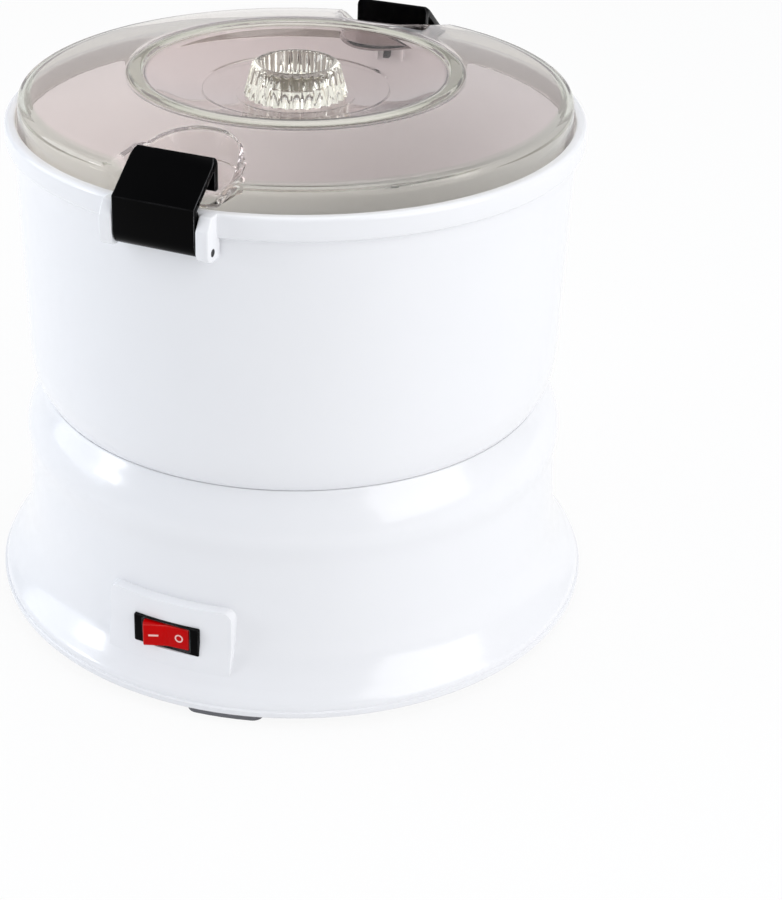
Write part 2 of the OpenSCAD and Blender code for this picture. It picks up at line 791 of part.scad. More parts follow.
module spindle() {
    color("silver") {
        rod(shaft_r, driven_z + 0.2, hub_top + 1);
        rod(shaft_r - 0.8, hub_top + 1 - eps, hub_top + 9);
    }
}

module driven_coupling() {
    color("black") {
        ring(dog_r + 0.4, shaft_r + joint, driven_z, driven_z + driven_t);
        dogs(60, coupling_z + coupling_t + 0.6, driven_z + 1);
    }
}

module ridge_bars(extra) {
    for (i = [0 : ridges - 1]) rotate([0, 0, 30 + i * 360 / ridges])
        translate([0, 0, disc_top - ridge_low]) {
            translate([ridge_in, 0, 0]) rotate([0, 90, 0])
                cylinder(r = ridge_r + extra, h = ridge_out - ridge_in, $fn = 48);
            for (r = [ridge_in, ridge_out]) translate([r, 0, 0])
                sphere(r = ridge_r + extra, $fn = 48);
        }
}

module peeling_disc() {
    drains = 12;
    color("white") {
        difference() {
            rotate_extrude() polygon(concat(
                [[bearing_r + 1.4, disc_low], [disc_r - 2.5, disc_low], [disc_r - 2.5, disc_low - 4],
                 [disc_r, disc_low - 4], [disc_r, disc_top - 1.5], [disc_r - 1.5, disc_top],
                 [hub_r + 6, disc_top], [hub_r + 2.5, disc_top + 1], [hub_r + 0.6, disc_top + 3.5],
                 [hub_r - 1, hub_top - 2], [hub_r - 3, hub_top], [shaft_r + joint, hub_top],
                 [shaft_r + joint, hub_top - 2.5], [bearing_r + 1.4, hub_top - 2.5]]));
            for (i = [0 : drains - 1]) rotate([0, 0, i * 360 / drains]) translate([disc_r - 4.2, 0, 0])
                rod(2.2, disc_low - 1, disc_top + 1);
        }
        intersection() {
            ridge_bars(0);
            rod(disc_r, disc_top - 0.5, disc_top + ridge_r);
        }
    }
}

module abrasive_pad() {
    color("gray") difference() {
        ring(pad_out, pad_in, disc_top + joint, disc_top + pad_t);
        ridge_bars(0.15);
    }
}

module disc_nut() {
    color("black") difference() {
        union() {
            rod(nut_r, hub_top + joint, hub_top + nut_h - 3);
            translate([0, 0, hub_top + nut_h - 3]) cylinder(r1 = nut_r, r2 = nut_r - 3, h = 3);
        }
        rod(shaft_r - 0.8 + joint, 0, hub_top + 9.4);
        rod(shaft_r + joint, 0, hub_top + 1.2);
        for (i = [0 : 7]) rotate([0, 0, i * 45 + 22.5]) translate([nut_r + 1.8, 0, 0]) rod(3, 0, big);
    }
}

// ---- lid ----------------------------------------------------------------------------------

edge_round = 2.4;
edge_r = lid_r - 0.8;
bead_h = 1.5;
lid_outer = concat(
    [[lid_r, lid_z], [edge_r, lid_edge_z - edge_round]],
    arc([edge_r - edge_round, lid_edge_z - edge_round], edge_round, 15, 80, 4),
    smooth([[edge_r - 6, lid_edge_z + 0.8], [edge_r - 20, lid_edge_z + 3.7],
        [crest_r + 8, crest_z - bead_h - 0.6], [crest_r + 4.3, crest_z - bead_h]], 3),
    arc([crest_r + 1.6, crest_z - 1.6], 1.6, 70, 115, 4),
    smooth([[crest_r - 1.6, crest_z - 1], [crest_r - 12, crest_z - 4.2], [38, dish_z + 3.3],
        [26, dish_z + 0.6], [knob_r + 1.5, dish_z]], 3)
);
lid_outside = concat(lid_outer, [[0, dish_z], [0, lid_z]]);
lid_inside = concat(
    [[lid_r - lid_wall, lid_z - 1], [lid_r - lid_wall, lid_edge_z - lid_wall - 1.2],
     [lid_r - lid_wall - 1.4, lid_edge_z - lid_wall + 0.2]],
    shifted([for (p = lid_outer) if (p[0] < edge_r - 5) p], [0, -lid_wall]),
    [[0, dish_z - lid_wall], [0, lid_z - 1]]
);

pocket_r = latch_w / 2 + 1.5;                    // round inner end of a latch's pocket
pocket_c = lid_r - 20.2;
pocket_mouth = latch_w / 2 + 10;
pocket_wall = 2;
pocket_floor = rim_z + 3.5;
pocket_sill = rim_z + 0.7;                       // floor of the pocket at the lid's edge
pocket_break = lid_r - 8.2;

module pocket_outline(grow) {
    translate([0, -pocket_c]) circle(r = pocket_r + grow);
    polygon([[-pocket_r - grow, -pocket_c], [pocket_r + grow, -pocket_c],
        [pocket_mouth + grow, -lid_r - 4], [-pocket_mouth - grow, -lid_r - 4]]);
}

// Everything above the pocket's floor, or as far below it as depth says
module above_floor(depth) {
    inner = pocket_c - 2 * latch_w;
    across_front(3 * latch_w) polygon([[inner, pocket_floor - depth], [pocket_break, pocket_floor - depth],
        [lid_r + 6, pocket_sill - depth - 2], [lid_r + 6, big], [inner, big]]);
}

module pocket_shape(grow, depth) {
    intersection() {
        linear_extrude(big) pocket_outline(grow);
        above_floor(depth);
    }
}

module lid() {
    color([0.9, 0.93, 0.9, 0.35]) difference() {
        rotate_extrude() polygon(lid_outside);
        difference() {
            rotate_extrude() polygon(lid_inside);
            for (side = [0, 180]) rotate([0, 0, side]) pocket_shape(pocket_wall, lid_wall);
        }
        for (side = [0, 180]) rotate([0, 0, side]) pocket_shape(0, 0);
    }
}

knob_top_r = knob_r - 2.3;
rib_r = 1.5;

module lid_knob() {
    lean = atan((knob_r - knob_top_r) / knob_h);
    color([0.95, 0.97, 0.95, 0.35]) difference() {
        intersection() {
            union() {
                translate([0, 0, dish_z + joint])
                    cylinder(r1 = knob_r - rib_r, r2 = knob_top_r - rib_r, h = knob_h);
                for (i = [0 : knob_flutes - 1]) rotate([0, 0, i * 360 / knob_flutes])
                    translate([knob_r - rib_r, 0, dish_z]) rotate([0, -lean, 0])
                        translate([0, 0, -2]) cylinder(r = rib_r, h = knob_h + 5, $fn = 24);
            }
            rod(knob_r + 1, dish_z + joint, dish_z + knob_h);
        }
        translate([0, 0, dish_z + 4]) cylinder(r1 = knob_top_r - 6.2, r2 = knob_top_r - 4.2, h = knob_h);
    }
}

// ---- latches ------------------------------------------------------------------------------

latch_top_z = rim_z + 16;                        // top of the inner end
latch_bend_z = rim_z + 1.8;                      // bend between the front and the roof
latch_front = hinge_r + 3.4;
latch_tip = hinge_r - 15.6;
lip_z = pocket_floor + 0.5;
cheek_in = rim_r + gap;
roof = atan((latch_top_z - latch_bend_z) / (latch_front - latch_tip));

latch_section = concat(
    [[latch_front - 0.1, hinge_z]],
    arc([latch_front - 1.5, latch_bend_z - 1.2], 1.5, 0, 90 - roof, 4),
    arc([latch_tip + 1.7, latch_top_z - 2.2], 1.7, 90 - roof, 180, 5),
    [[latch_tip, lip_z + 0.6], [latch_tip + 0.6, lip_z], [latch_tip + latch_wall - 0.4, lip_z],
     [latch_tip + latch_wall, lip_z + 0.4],
     [latch_tip + latch_wall, latch_top_z - 2.2 - latch_wall * 0.75],
     [latch_front - latch_wall, latch_bend_z - latch_wall / cos(roof) + latch_wall * tan(roof)],
     [latch_front - latch_wall, hinge_z]]
);

module latch() {
    color("black") difference() {
        union() {
            across_front(latch_w) {
                polygon(latch_section);
                translate([hinge_r, hinge_z]) circle(r = barrel_r, $fn = 48);
            }
            for (s = [-1, 1]) translate([s * (latch_w / 2 - 1), 0, 0]) across_front(2)
                polygon([[cheek_in, hinge_z], [latch_front - 1, hinge_z],
                    [latch_front - 1, latch_bend_z - 2], [cheek_in + 1, latch_bend_z - 1.5],
                    [cheek_in, latch_bend_z - 4]]);
        }
        translate([0, -hinge_r, hinge_z]) rotate([0, 90, 0])
            cylinder(r = pin_r + run, h = 2 * latch_w, center = true, $fn = 32);
    }
}

module front_latch() {
    latch();
}

module rear_latch() {
    rotate([0, 0, 180]) latch();
}

// ---- every piece, by name -----------------------------------------------------------------

base_housing();
base_plate();
feet();
base_screws();
cord_gland();
switch_frame();
switch_terminals();
switch_rocker();
motor_plate();
plate_screws();
motor_stator();
motor_windings();
motor_bracket();
motor_spacers();
motor_bolts();
motor_nuts();
motor_bushes();
motor_shaft();
motor_rotor();
motor_fan();
motor_pinion();
output_shaft();
output_gear();
output_clip();
output_bushes();
drive_coupling();
bowl();
bowl_bush();
shaft_seal();
lid_key();
spindle();
driven_coupling();
peeling_disc();
abrasive_pad();
disc_nut();
lid();
lid_knob();
front_latch();
rear_latch();
front_hinge_pin();
rear_hinge_pin();
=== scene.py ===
# Electric potato peeler: motor base, lift-off bowl, clear lid and two latches.
# Metres throughout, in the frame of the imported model: +Z up, the switch faces -Y.
import random
from math import atan2, copysign, cos, hypot, pi, radians, sin, sqrt, tan, tau

import bmesh
import bpy
from mathutils import Matrix, Vector
from mathutils.geometry import delaunay_2d_cdt


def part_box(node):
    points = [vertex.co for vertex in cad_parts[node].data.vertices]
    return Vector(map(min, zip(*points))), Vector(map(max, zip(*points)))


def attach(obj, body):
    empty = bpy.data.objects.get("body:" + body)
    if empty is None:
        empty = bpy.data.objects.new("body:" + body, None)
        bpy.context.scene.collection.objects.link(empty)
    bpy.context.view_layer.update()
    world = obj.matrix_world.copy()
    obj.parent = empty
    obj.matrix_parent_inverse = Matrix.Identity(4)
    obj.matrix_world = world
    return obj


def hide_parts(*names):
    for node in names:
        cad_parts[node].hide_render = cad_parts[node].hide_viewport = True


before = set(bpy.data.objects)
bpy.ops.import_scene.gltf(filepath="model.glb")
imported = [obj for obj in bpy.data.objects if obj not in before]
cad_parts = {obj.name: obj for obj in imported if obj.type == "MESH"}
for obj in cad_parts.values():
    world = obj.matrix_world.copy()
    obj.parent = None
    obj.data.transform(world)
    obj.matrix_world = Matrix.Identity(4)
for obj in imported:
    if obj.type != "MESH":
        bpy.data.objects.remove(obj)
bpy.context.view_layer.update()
mm = 0.001


# shader helpers; colours are written without their alpha

def feed(tree, socket, value):
    if isinstance(value, bpy.types.NodeSocket):
        tree.links.new(value, socket)
    else:
        socket.default_value = (*value, 1.0) if socket.type == "RGBA" else value


def place(tree, kind, values=None, **settings):
    node = tree.nodes.new(kind if kind.startswith("Node") else "ShaderNode" + kind)
    for key, value in settings.items():
        setattr(node, key, value)
    for key, value in (values or {}).items():
        feed(tree, node.inputs[key], value)
    return node


def calc(tree, operation, *values, clamp=False):
    node = place(tree, "Math", dict(enumerate(values)), operation=operation, use_clamp=clamp)
    return node.outputs[0]


def blendColor(tree, mask, low, high):
    return place(tree, "Mix", {0: mask, 6: low, 7: high}, data_type="RGBA").outputs[2]


# From 0 at low to 1 at high, and level beyond them
def remap(tree, value, low, high):
    return place(tree, "MapRange", {"Value": value, "From Min": low, "From Max": high}).outputs[0]


def objectPoint(tree):
    return place(tree, "TexCoord").outputs["Object"]


def noise(tree, scale, detail, roughness=0.5, stretch=None):
    where = objectPoint(tree)
    if stretch:
        where = place(tree, "Mapping", {"Scale": stretch, "Vector": where}).outputs[0]
    values = {"Vector": where, "Scale": scale, "Detail": detail, "Roughness": roughness}
    return place(tree, "TexNoise", values).outputs["Fac"]


def newGroup(name, inputs, build):
    tree = bpy.data.node_groups.new(name, "ShaderNodeTree")
    for label in inputs:
        tree.interface.new_socket(label, in_out="INPUT", socket_type="NodeSocketFloat")
    made = build(tree, place(tree, "NodeGroupInput").outputs)
    for label in made:
        tree.interface.new_socket(label, in_out="OUTPUT", socket_type="NodeSocketFloat")
    place(tree, "NodeGroupOutput", made)
    return tree


# shared effects: a moulded skin, worn edges with a painted highlight line, settled dust, drawn metal;
# sizes in millimetres

def skinMasks(tree, given):
    ripple = noise(tree, calc(tree, "DIVIDE", 1 / mm, given["Ripple Size"]), 1.0)
    cloud = noise(tree, calc(tree, "DIVIDE", 1 / mm, given["Cloud Size"]), 3.0, 0.55)
    scuff = noise(tree, 260.0, 4.0, 0.7, (1.0, 1.0, 0.12))
    return {"Ripple": ripple, "Cloud": cloud, "Scuff": remap(tree, scuff, 0.58, 0.72)}


def edgeWearAndHighlightMask(tree, given):
    width = calc(tree, "MULTIPLY", given["Width"], mm)
    soft = place(tree, "Bevel", {"Radius": width}, samples=4)
    flat = place(tree, "NewGeometry")
    normals = {0: soft.outputs[0], 1: flat.outputs["Normal"]}
    dot = place(tree, "VectorMath", normals, operation="DOT_PRODUCT")
    # a rounded edge: where wear goes, and where a painted highlight line is laid
    edge = remap(tree, dot.outputs["Value"], 0.995, 0.86)
    patches = remap(tree, noise(tree, 220.0, 3.0), 0.38, 0.62)
    kept = calc(tree, "SUBTRACT", 1.0, calc(tree, "MULTIPLY", given["Patchy"], patches))
    return {"Mask": calc(tree, "MULTIPLY", edge, kept, clamp=True)}


def dustMask(tree, given):
    normal = place(tree, "NewGeometry").outputs["Normal"]
    facing = remap(tree, place(tree, "SeparateXYZ", {0: normal}).outputs["Z"], 0.2, 1.0)
    haze = remap(tree, noise(tree, 45.0, 4.0, 0.65), 0.35, 0.75)
    amount = calc(tree, "MULTIPLY", given["Amount"], facing)
    return {"Mask": calc(tree, "MULTIPLY", haze, amount, clamp=True)}


def metalMasks(tree, given):
    scale = calc(tree, "DIVIDE", 1 / mm, given["Grain"])
    around = noise(tree, scale, 3.0, 0.6, (0.04, 0.04, 1.0))
    along = noise(tree, scale, 3.0, 0.6, (1.0, 1.0, 0.04))
    mixed = place(tree, "Mix", {0: given["Around"], 2: along, 3: around}, data_type="FLOAT")
    stain = remap(tree, noise(tree, 70.0, 4.0, 0.6), 0.4, 0.7)
    return {"Streak": mixed.outputs[0], "Stain": stain}


mouldedSkin = newGroup("mouldedSkin", ("Ripple Size", "Cloud Size"), skinMasks)
edgeWearAndHighlight = newGroup("edgeWearAndHighlight", ("Width", "Patchy"), edgeWearAndHighlightMask)
settledDust = newGroup("settledDust", ("Amount",), dustMask)
drawnMetal = newGroup("drawnMetal", ("Grain", "Around"), metalMasks)


def effect(tree, group, values):
    return place(tree, "Group", values, node_tree=group).outputs


def newMaterial(name, look):
    material = bpy.data.materials.new(name)
    material.use_nodes = True
    tree = material.node_tree
    shader = tree.nodes["Principled BSDF"]
    for key, value in look.items():
        feed(tree, shader.inputs[key], value)
    return material, tree, shader


# Sets colour, roughness with what each (mask, gain) adds to it, and bump
def surface(tree, shader, tone, dull, layers, relief, strength, height):
    for mask, gain in layers:
        dull = calc(tree, "MULTIPLY_ADD", mask, gain, dull, clamp=True)
    bump = place(tree, "Bump", {"Height": relief, "Strength": strength, "Distance": height * mm})
    for key, value in (("Base Color", tone), ("Roughness", dull), ("Normal", bump.outputs[0])):
        feed(tree, shader.inputs[key], value)


# First shader where the mask is 0, second where it is 1
def eitherShader(tree, mask, first, second, end="Material Output"):
    either = place(tree, "MixShader", {0: mask, 1: first.outputs[0], 2: second.outputs[0]})
    tree.links.new(either.outputs[0], tree.nodes[end].inputs["Surface"])


# Ripple of the tool, faint clouds, scuffs, pale or dull edges (wear, and a painted highlight line along
# bends and rims), dust
def mouldedPlastic(name, look, color, cloudy, edgeWearAndHighlightColor, edge, dust, rough, ripple):
    material, tree, shader = newMaterial(name, look)
    skin = effect(tree, mouldedSkin, {"Ripple Size": ripple[0], "Cloud Size": 28.0})
    wearAndHighlight = effect(tree, edgeWearAndHighlight, {"Width": 0.5, "Patchy": 0.6})
    film = effect(tree, settledDust, {"Amount": dust})
    tone = blendColor(tree, skin["Cloud"], color, cloudy)
    # painted highlight: the edge colour is wear and also a light line where light catches bends and rims
    tone = blendColor(tree, calc(tree, "MULTIPLY", wearAndHighlight["Mask"], edge), tone, edgeWearAndHighlightColor)
    tone = blendColor(tree, film["Mask"], tone, (0.62, 0.60, 0.57))
    layers = (skin["Scuff"], rough[1]), (skin["Cloud"], rough[2]), (film["Mask"], 0.3)
    surface(tree, shader, tone, rough[0], layers, skin["Ripple"], *ripple[1:])
    return material


# A clear sheet, tinted with painted shade in round zones of (from radius, to radius, colour)
def clearPlastic(name, ior, color, cloudy, paintedShadeZones, passing, haze, ripple):
    material, tree, shader = newMaterial(name, {"IOR": ior, "Transmission Weight": 1.0})
    skin = effect(tree, mouldedSkin, {"Ripple Size": ripple[0], "Cloud Size": 22.0})
    point = place(tree, "SeparateXYZ", {0: objectPoint(tree)}).outputs
    square = calc(tree, "MULTIPLY_ADD", point["Y"], point["Y"], calc(tree, "POWER", point["X"], 2.0))
    radius = calc(tree, "SQRT", square)
    tone = blendColor(tree, skin["Cloud"], color, cloudy)
    soft = 0.6  # half width of a zone's edge
    # painted shade: each zone darkens the sheet's colour
    for low, high, shade in paintedShadeZones:
        inside = [remap(tree, radius, (at - way * soft) * mm, (at + way * soft) * mm)
                  for at, way in ((low, 1), (high, -1))]
        tone = blendColor(tree, calc(tree, "MULTIPLY", *inside), tone, shade)
    film = effect(tree, settledDust, {"Amount": haze})
    layers = (film["Mask"], 0.12), (skin["Scuff"], 0.03)
    surface(tree, shader, tone, 0.012, layers, skin["Ripple"], *ripple[1:])
    # light passes through to what is under the lid, and rays caught in the sheet leave it
    through = place(tree, "BsdfTransparent", {"Color": passing})
    path = place(tree, "LightPath").outputs
    caught = calc(tree, "GREATER_THAN", path["Ray Depth"], 4.5)
    eitherShader(tree, calc(tree, "MAXIMUM", path["Is Shadow Ray"], caught), shader, through)
    return material


def metal(name, color, stain, grain, around, rough):
    material, tree, shader = newMaterial(name, {"Metallic": 1.0})
    drawn = effect(tree, drawnMetal, {"Grain": grain, "Around": around})
    wearAndHighlight = effect(tree, edgeWearAndHighlight, {"Width": 0.35, "Patchy": 0.4})
    bright = [min(1.0, c * 1.25) for c in color]
    tone = blendColor(tree, calc(tree, "MULTIPLY", drawn["Stain"], 0.5), color, stain)
    tone = blendColor(tree, calc(tree, "MULTIPLY", wearAndHighlight["Mask"], 0.7), tone, bright)
    layers = (drawn["Streak"], rough[1]), (drawn["Stain"], rough[2])
    surface(tree, shader, tone, rough[0], layers, drawn["Streak"], 0.25, 0.02)
    return material


# finishes

# shader's own values, colour, cloudy colour, edge's colour (wear and a painted highlight line), edge wear,
# dust,
# roughness with what scuffs and clouds add, ripple's size, strength and height
plastics = {
    "whitePlastic": (
        {"IOR": 1.48, "Coat Weight": 0.25, "Coat Roughness": 0.06}, (0.86, 0.865, 0.885),
        (0.845, 0.85, 0.872), (0.93, 0.93, 0.94), 0.35, 0.05, (0.17, 0.05, 0.05), (5.0, 0.10, 0.05)),
    # painted highlight: the pale grey edge colour draws a thin light line along bends such as the latch's
    "blackPlastic": (
        {"IOR": 1.3, "Specular IOR Level": 0.09}, (0.0006, 0.0006, 0.0007), (0.0009, 0.0009, 0.0011),
        (0.22, 0.22, 0.225), 0.8, 0.001, (0.14, 0.06, 0.04), (2.2, 0.12, 0.03)),
    "couplingPlastic": (
        {"IOR": 1.5}, (0.014, 0.014, 0.015), (0.022, 0.022, 0.023), (0.08, 0.08, 0.08),
        0.6, 0.05, (0.38, 0.1, 0.1), (0.7, 0.3, 0.04)),
    # painted highlight: the pinkish edge colour draws a light line along the rocker's raised end
    "redPlastic": (
        {"IOR": 1.35, "Specular IOR Level": 0.12, "Subsurface Weight": 0.1,
         "Subsurface Radius": (0.9 * mm, 0.1 * mm, 0.1 * mm)}, (0.62, 0.0006, 0.0012),
        (0.44, 0.0003, 0.001), (0.95, 0.45, 0.40), 0.7, 0.001, (0.14, 0.05, 0.05), (3.0, 0.1, 0.03)),
    "markPaint": (
        {"IOR": 1.5}, (0.92, 0.62, 0.58), (0.84, 0.52, 0.49), (0.78, 0.45, 0.43),
        0.5, 0.0, (0.42, 0.1, 0.1), (0.4, 0.2, 0.02)),
    "gearPlastic": (
        {"IOR": 1.48}, (0.78, 0.74, 0.62), (0.70, 0.65, 0.52), (0.88, 0.85, 0.75),
        0.5, 0.1, (0.36, 0.1, 0.1), (1.2, 0.2, 0.03)),
    "softRubber": (
        {"IOR": 1.5}, (0.035, 0.035, 0.037), (0.055, 0.055, 0.057), (0.10, 0.10, 0.10),
        0.7, 0.2, (0.62, 0.1, 0.12), (0.5, 0.5, 0.06)),
    "footRubber": (
        {"IOR": 1.45}, (0.16, 0.16, 0.175), (0.20, 0.20, 0.215), (0.28, 0.28, 0.29),
        0.7, 0.15, (0.6, 0.1, 0.12), (0.5, 0.5, 0.06)),
}
# refraction, colour, cloudy colour, zones of painted shade, colour of the light let through, haze, ripple
clears = {
    "lidPlastic": (
        1.36, (0.895, 0.84, 0.82), (0.87, 0.81, 0.79),
        # painted shade: a darker dish, an olive-grey band on the raised ring and a greyer rim stand in for
        # shade and refraction seen through the lid
        [(0.0, 61.0, (0.83, 0.75, 0.735)), (61.6, 68.0, (0.60, 0.60, 0.52)),
         (106.0, 140.0, (0.76, 0.77, 0.71))],
        (0.90, 0.87, 0.86), 0.08, (9.0, 0.12, 0.06)),
    "knobPlastic": (
        1.49, (0.90, 0.895, 0.82), (0.85, 0.84, 0.73), [], (0.90, 0.89, 0.87), 0.12, (3.0, 0.15, 0.05)),
}
# colour, stain, grain, turned (1) or drawn (0), roughness with what streaks and stains add
metals = {
    "zincSteel": ((0.62, 0.63, 0.65), (0.44, 0.44, 0.43), 0.5, 0.0, (0.28, 0.15, 0.15)),
    "groundSteel": ((0.70, 0.70, 0.71), (0.56, 0.55, 0.53), 0.3, 1.0, (0.18, 0.14, 0.1)),
    "darkSteel": ((0.035, 0.035, 0.037), (0.05, 0.047, 0.044), 0.4, 0.0, (0.26, 0.15, 0.1)),
    "coreSteel": ((0.30, 0.31, 0.33), (0.22, 0.17, 0.13), 0.6, 1.0, (0.38, 0.2, 0.15)),
    "copperWire": ((0.60, 0.26, 0.11), (0.42, 0.15, 0.06), 0.7, 0.0, (0.22, 0.15, 0.1)),
    "brassSheet": ((0.78, 0.60, 0.28), (0.55, 0.40, 0.18), 0.4, 0.0, (0.24, 0.15, 0.15)),
    "bronzeBush": ((0.55, 0.38, 0.18), (0.36, 0.24, 0.11), 0.4, 1.0, (0.34, 0.15, 0.15)),
}
finish = {}
for make, table in ((mouldedPlastic, plastics), (clearPlastic, clears), (metal, metals)):
    finish.update({name: make(name, *row) for name, row in table.items()})
print("materials made")


# mesh helpers; outlines and profiles are in millimetres

def smoothLine(points, steps=6):
    line = []
    for i in range(len(points) - 1):
        a, b, c, d = [points[min(max(i + k, 0), len(points) - 1)] for k in (-1, 0, 1, 2)]
        for s in range(steps):
            t = s / steps
            line.append(tuple(0.5 * (2 * q + (r - p) * t + (2 * p - 5 * q + 4 * r - w) * t * t
                                     + (3 * q - p - 3 * r + w) * t ** 3)
                              for p, q, r, w in zip(a, b, c, d)))
    return line + [tuple(points[-1])]


def arcLine(center, radius, start, end, steps=8):
    turns = [radians(start + (end - start) * i / steps) for i in range(steps + 1)]
    return [(center[0] + radius * cos(t), center[1] + radius * sin(t)) for t in turns]


def shift(points, across, up):
    return [(across + p[0], up + p[1], *p[2:]) for p in points]


# Rounds each corner (x, y, radius) of a closed outline
def roundedOutline(corners, steps=5):
    line = []
    spots = [Vector(corner[:2]) for corner in corners]
    for i, (corner, here) in enumerate(zip(corners, spots)):
        if len(corner) < 3:
            line.append(tuple(here))
            continue
        before = (spots[i - 1] - here).normalized()
        after = (spots[(i + 1) % len(spots)] - here).normalized()
        half = before.angle(after) / 2
        reach = corner[2] / tan(half)
        center = here + (before + after).normalized() * corner[2] / sin(half)
        first, last = here + before * reach - center, here + after * reach - center
        turn = first.angle_signed(last)
        for s in range(steps + 1):
            line.append(tuple(center + Matrix.Rotation(-turn * s / steps, 2) @ first))
    return line


def ringOutline(radius, center=(0, 0), steps=48):
    return [(center[0] + radius * cos(tau * i / steps),
             center[1] + radius * sin(tau * i / steps)) for i in range(steps)]


def boxOutline(width, height, radius, center=(0, 0), steps=5):
    w, h = width / 2, height / 2
    corners = [(-w, -h, radius), (w, -h, radius), (w, h, radius), (-w, h, radius)]
    return roundedOutline(shift(corners, *center), steps)


def linkObject(name, data):
    thing = bpy.data.objects.new(name, data)
    bpy.context.scene.collection.objects.link(thing)
    return thing


def smoothMesh(mesh, sharp=32):
    mesh.shade_smooth()
    mesh.set_sharp_from_angle(angle=radians(sharp))


def fromBmesh(name, bm, sharp=32, weld=True):
    if weld:
        bmesh.ops.remove_doubles(bm, verts=bm.verts, dist=0.0004 * mm)
        bmesh.ops.recalc_face_normals(bm, faces=bm.faces)
    mesh = bpy.data.meshes.new(name)
    bm.to_mesh(mesh)
    bm.free()
    smoothMesh(mesh, sharp)
    return linkObject(name, mesh)


# Joins two closed rows of points, which may share some
def bridge(bm, first, second):
    for k in range(len(first)):
        n = (k + 1) % len(first)
        corners = list(dict.fromkeys((first[k], first[n], second[n], second[k])))
        if len(corners) > 2:
            bm.faces.new(corners)


# Turns a closed profile of (radius, height) round the axis; shape may move each point
def lathe(name, profile, turns=240, shape=None, sharp=32):
    bm = bmesh.new()
    rows = []
    for radius, height in profile:
        if radius < 1e-6:
            rows.append([bm.verts.new((0, 0, height * mm))] * turns)
            continue
        row = []
        for k in range(turns):
            turn = tau * k / turns
            r, z = shape(radius, height, turn) if shape else (radius, height)
            row.append(bm.verts.new((r * mm * sin(turn), -r * mm * cos(turn), z * mm)))
        rows.append(row)
    for i, row in enumerate(rows):
        bridge(bm, row, rows[(i + 1) % len(rows)])
    return fromBmesh(name, bm, sharp)


# A closed outline pushed from one level to another; across=True lays (distance out, height)
# across the front, from one x to another
def prism(name, outline, low, high, across=False):
    bm = bmesh.new()
    ends = []
    for level in (low, high):
        ends.append([bm.verts.new((level * mm, -u * mm, v * mm) if across else
                                  (u * mm, v * mm, level * mm)) for u, v in outline])
    for end in ends:
        bm.faces.new(end)
    bridge(bm, *ends)
    return fromBmesh(name, bm)


def turned(thing, degrees, axis="Z"):
    thing.data.transform(Matrix.Rotation(radians(degrees), 4, axis))
    return thing


# Stands an outline of (x, height) on the front, between two distances from the middle
def frontPrism(name, outline, near, far):
    return turned(prism(name, outline, near, far), 90, "X")


def settle(thing):
    graph = bpy.context.evaluated_depsgraph_get()
    mesh = bpy.data.meshes.new_from_object(thing.evaluated_get(graph))
    thing.modifiers.clear()
    thing.data = mesh
    smoothMesh(mesh)


def merge(name, things):
    bm = bmesh.new()
    for thing in things:
        bm.from_mesh(thing.data)
        bpy.data.objects.remove(thing)
    return fromBmesh(name, bm, weld=False)


def combine(operation, thing, tools):
    tool = merge("tool", tools)
    step = thing.modifiers.new("combine", "BOOLEAN")
    step.operation, step.solver, step.object = operation, "MANIFOLD", tool
    settle(thing)
    bpy.data.objects.remove(tool)


def add(thing, *tools):
    combine("UNION", thing, tools)


def cut(thing, *tools):
    combine("DIFFERENCE", thing, tools)


def keep(thing, tool):
    combine("INTERSECT", thing, [tool])


def soften(thing, width, segments=3, limit=40):
    bm = bmesh.new()
    bm.from_mesh(thing.data)
    bmesh.ops.remove_doubles(bm, verts=bm.verts, dist=0.01 * mm)
    bmesh.ops.dissolve_limit(bm, angle_limit=radians(0.4), verts=bm.verts, edges=bm.edges)
    bm.to_mesh(thing.data)
    bm.free()
    step = thing.modifiers.new("soften", "BEVEL")
    step.width, step.segments = width * mm, segments
    step.limit_method, step.angle_limit = "ANGLE", radians(limit)
    settle(thing)


# Gives a piece its finish, and says what it rides on and which nodes it stands for
def dress(thing, coat, body, slot, *nodes):
    thing.data.materials.clear()
    thing.data.materials.append(finish[coat])
    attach(thing, body)
    if nodes:
        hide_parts(*nodes)


# main sizes, read from the frame, in millimetres

def span(node):
    return [Vector([c / mm for c in corner]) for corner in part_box(node)]


baseRadius = span("base_plate")[1].x
floorLevel, seatLevel = [corner.z for corner in span("base_housing")]
deckLevel = span("bowl")[0].z - 0.3
rimRadius, rimLevel = span("bowl")[1].x, span("bowl")[1].z
lidRadius = span("lid")[1].x
lidLevel, crestLevel = [corner.z for corner in span("lid")]
discTop = span("abrasive_pad")[1].z - 1.0
pinLow, pinHigh = span("front_hinge_pin")
hingeOut, hingeLevel = -(pinLow.y + pinHigh.y) / 2, (pinLow.z + pinHigh.z) / 2
frameLow, frameHigh = span("switch_frame")
switchLevel, frameFace = (frameLow.z + frameHigh.z) / 2, -frameLow.y
print("sizes read from the frame")


# A rounded box round the switch's middle, between two distances from the axis
def switchBox(name, width, height, radius, near, far):
    return frontPrism(name, boxOutline(width, height, radius, (0, switchLevel)), near, far)


# base housing: a flared shell turned round the axis, with a raised panel for the switch

housing = dict(
    waistIn=14.6, shoulder=1.0, seatIn=7.0, seatWall=2.1, wall=2.5, towerRadius=14.0,
    towerBore=8.02, panelOut=5.6, panelDraft=3.4, panelWidth=54.0, panelTop=15.0,
    panelFoot=3.0, panelRound=1.3, panelCorner=4.0, glandLevel=28.0, glandOut=7.6,
    hole=(26.6, 12.0, 0.5), seat=(28.76, 12.56, 0.63), seatDepth=4.02, postIn=15.4
)
waist = baseRadius - housing["waistIn"]
seatRadius = waist - housing["seatIn"]
seatBore = seatRadius - housing["seatWall"]
panelFace = waist + housing["panelOut"]


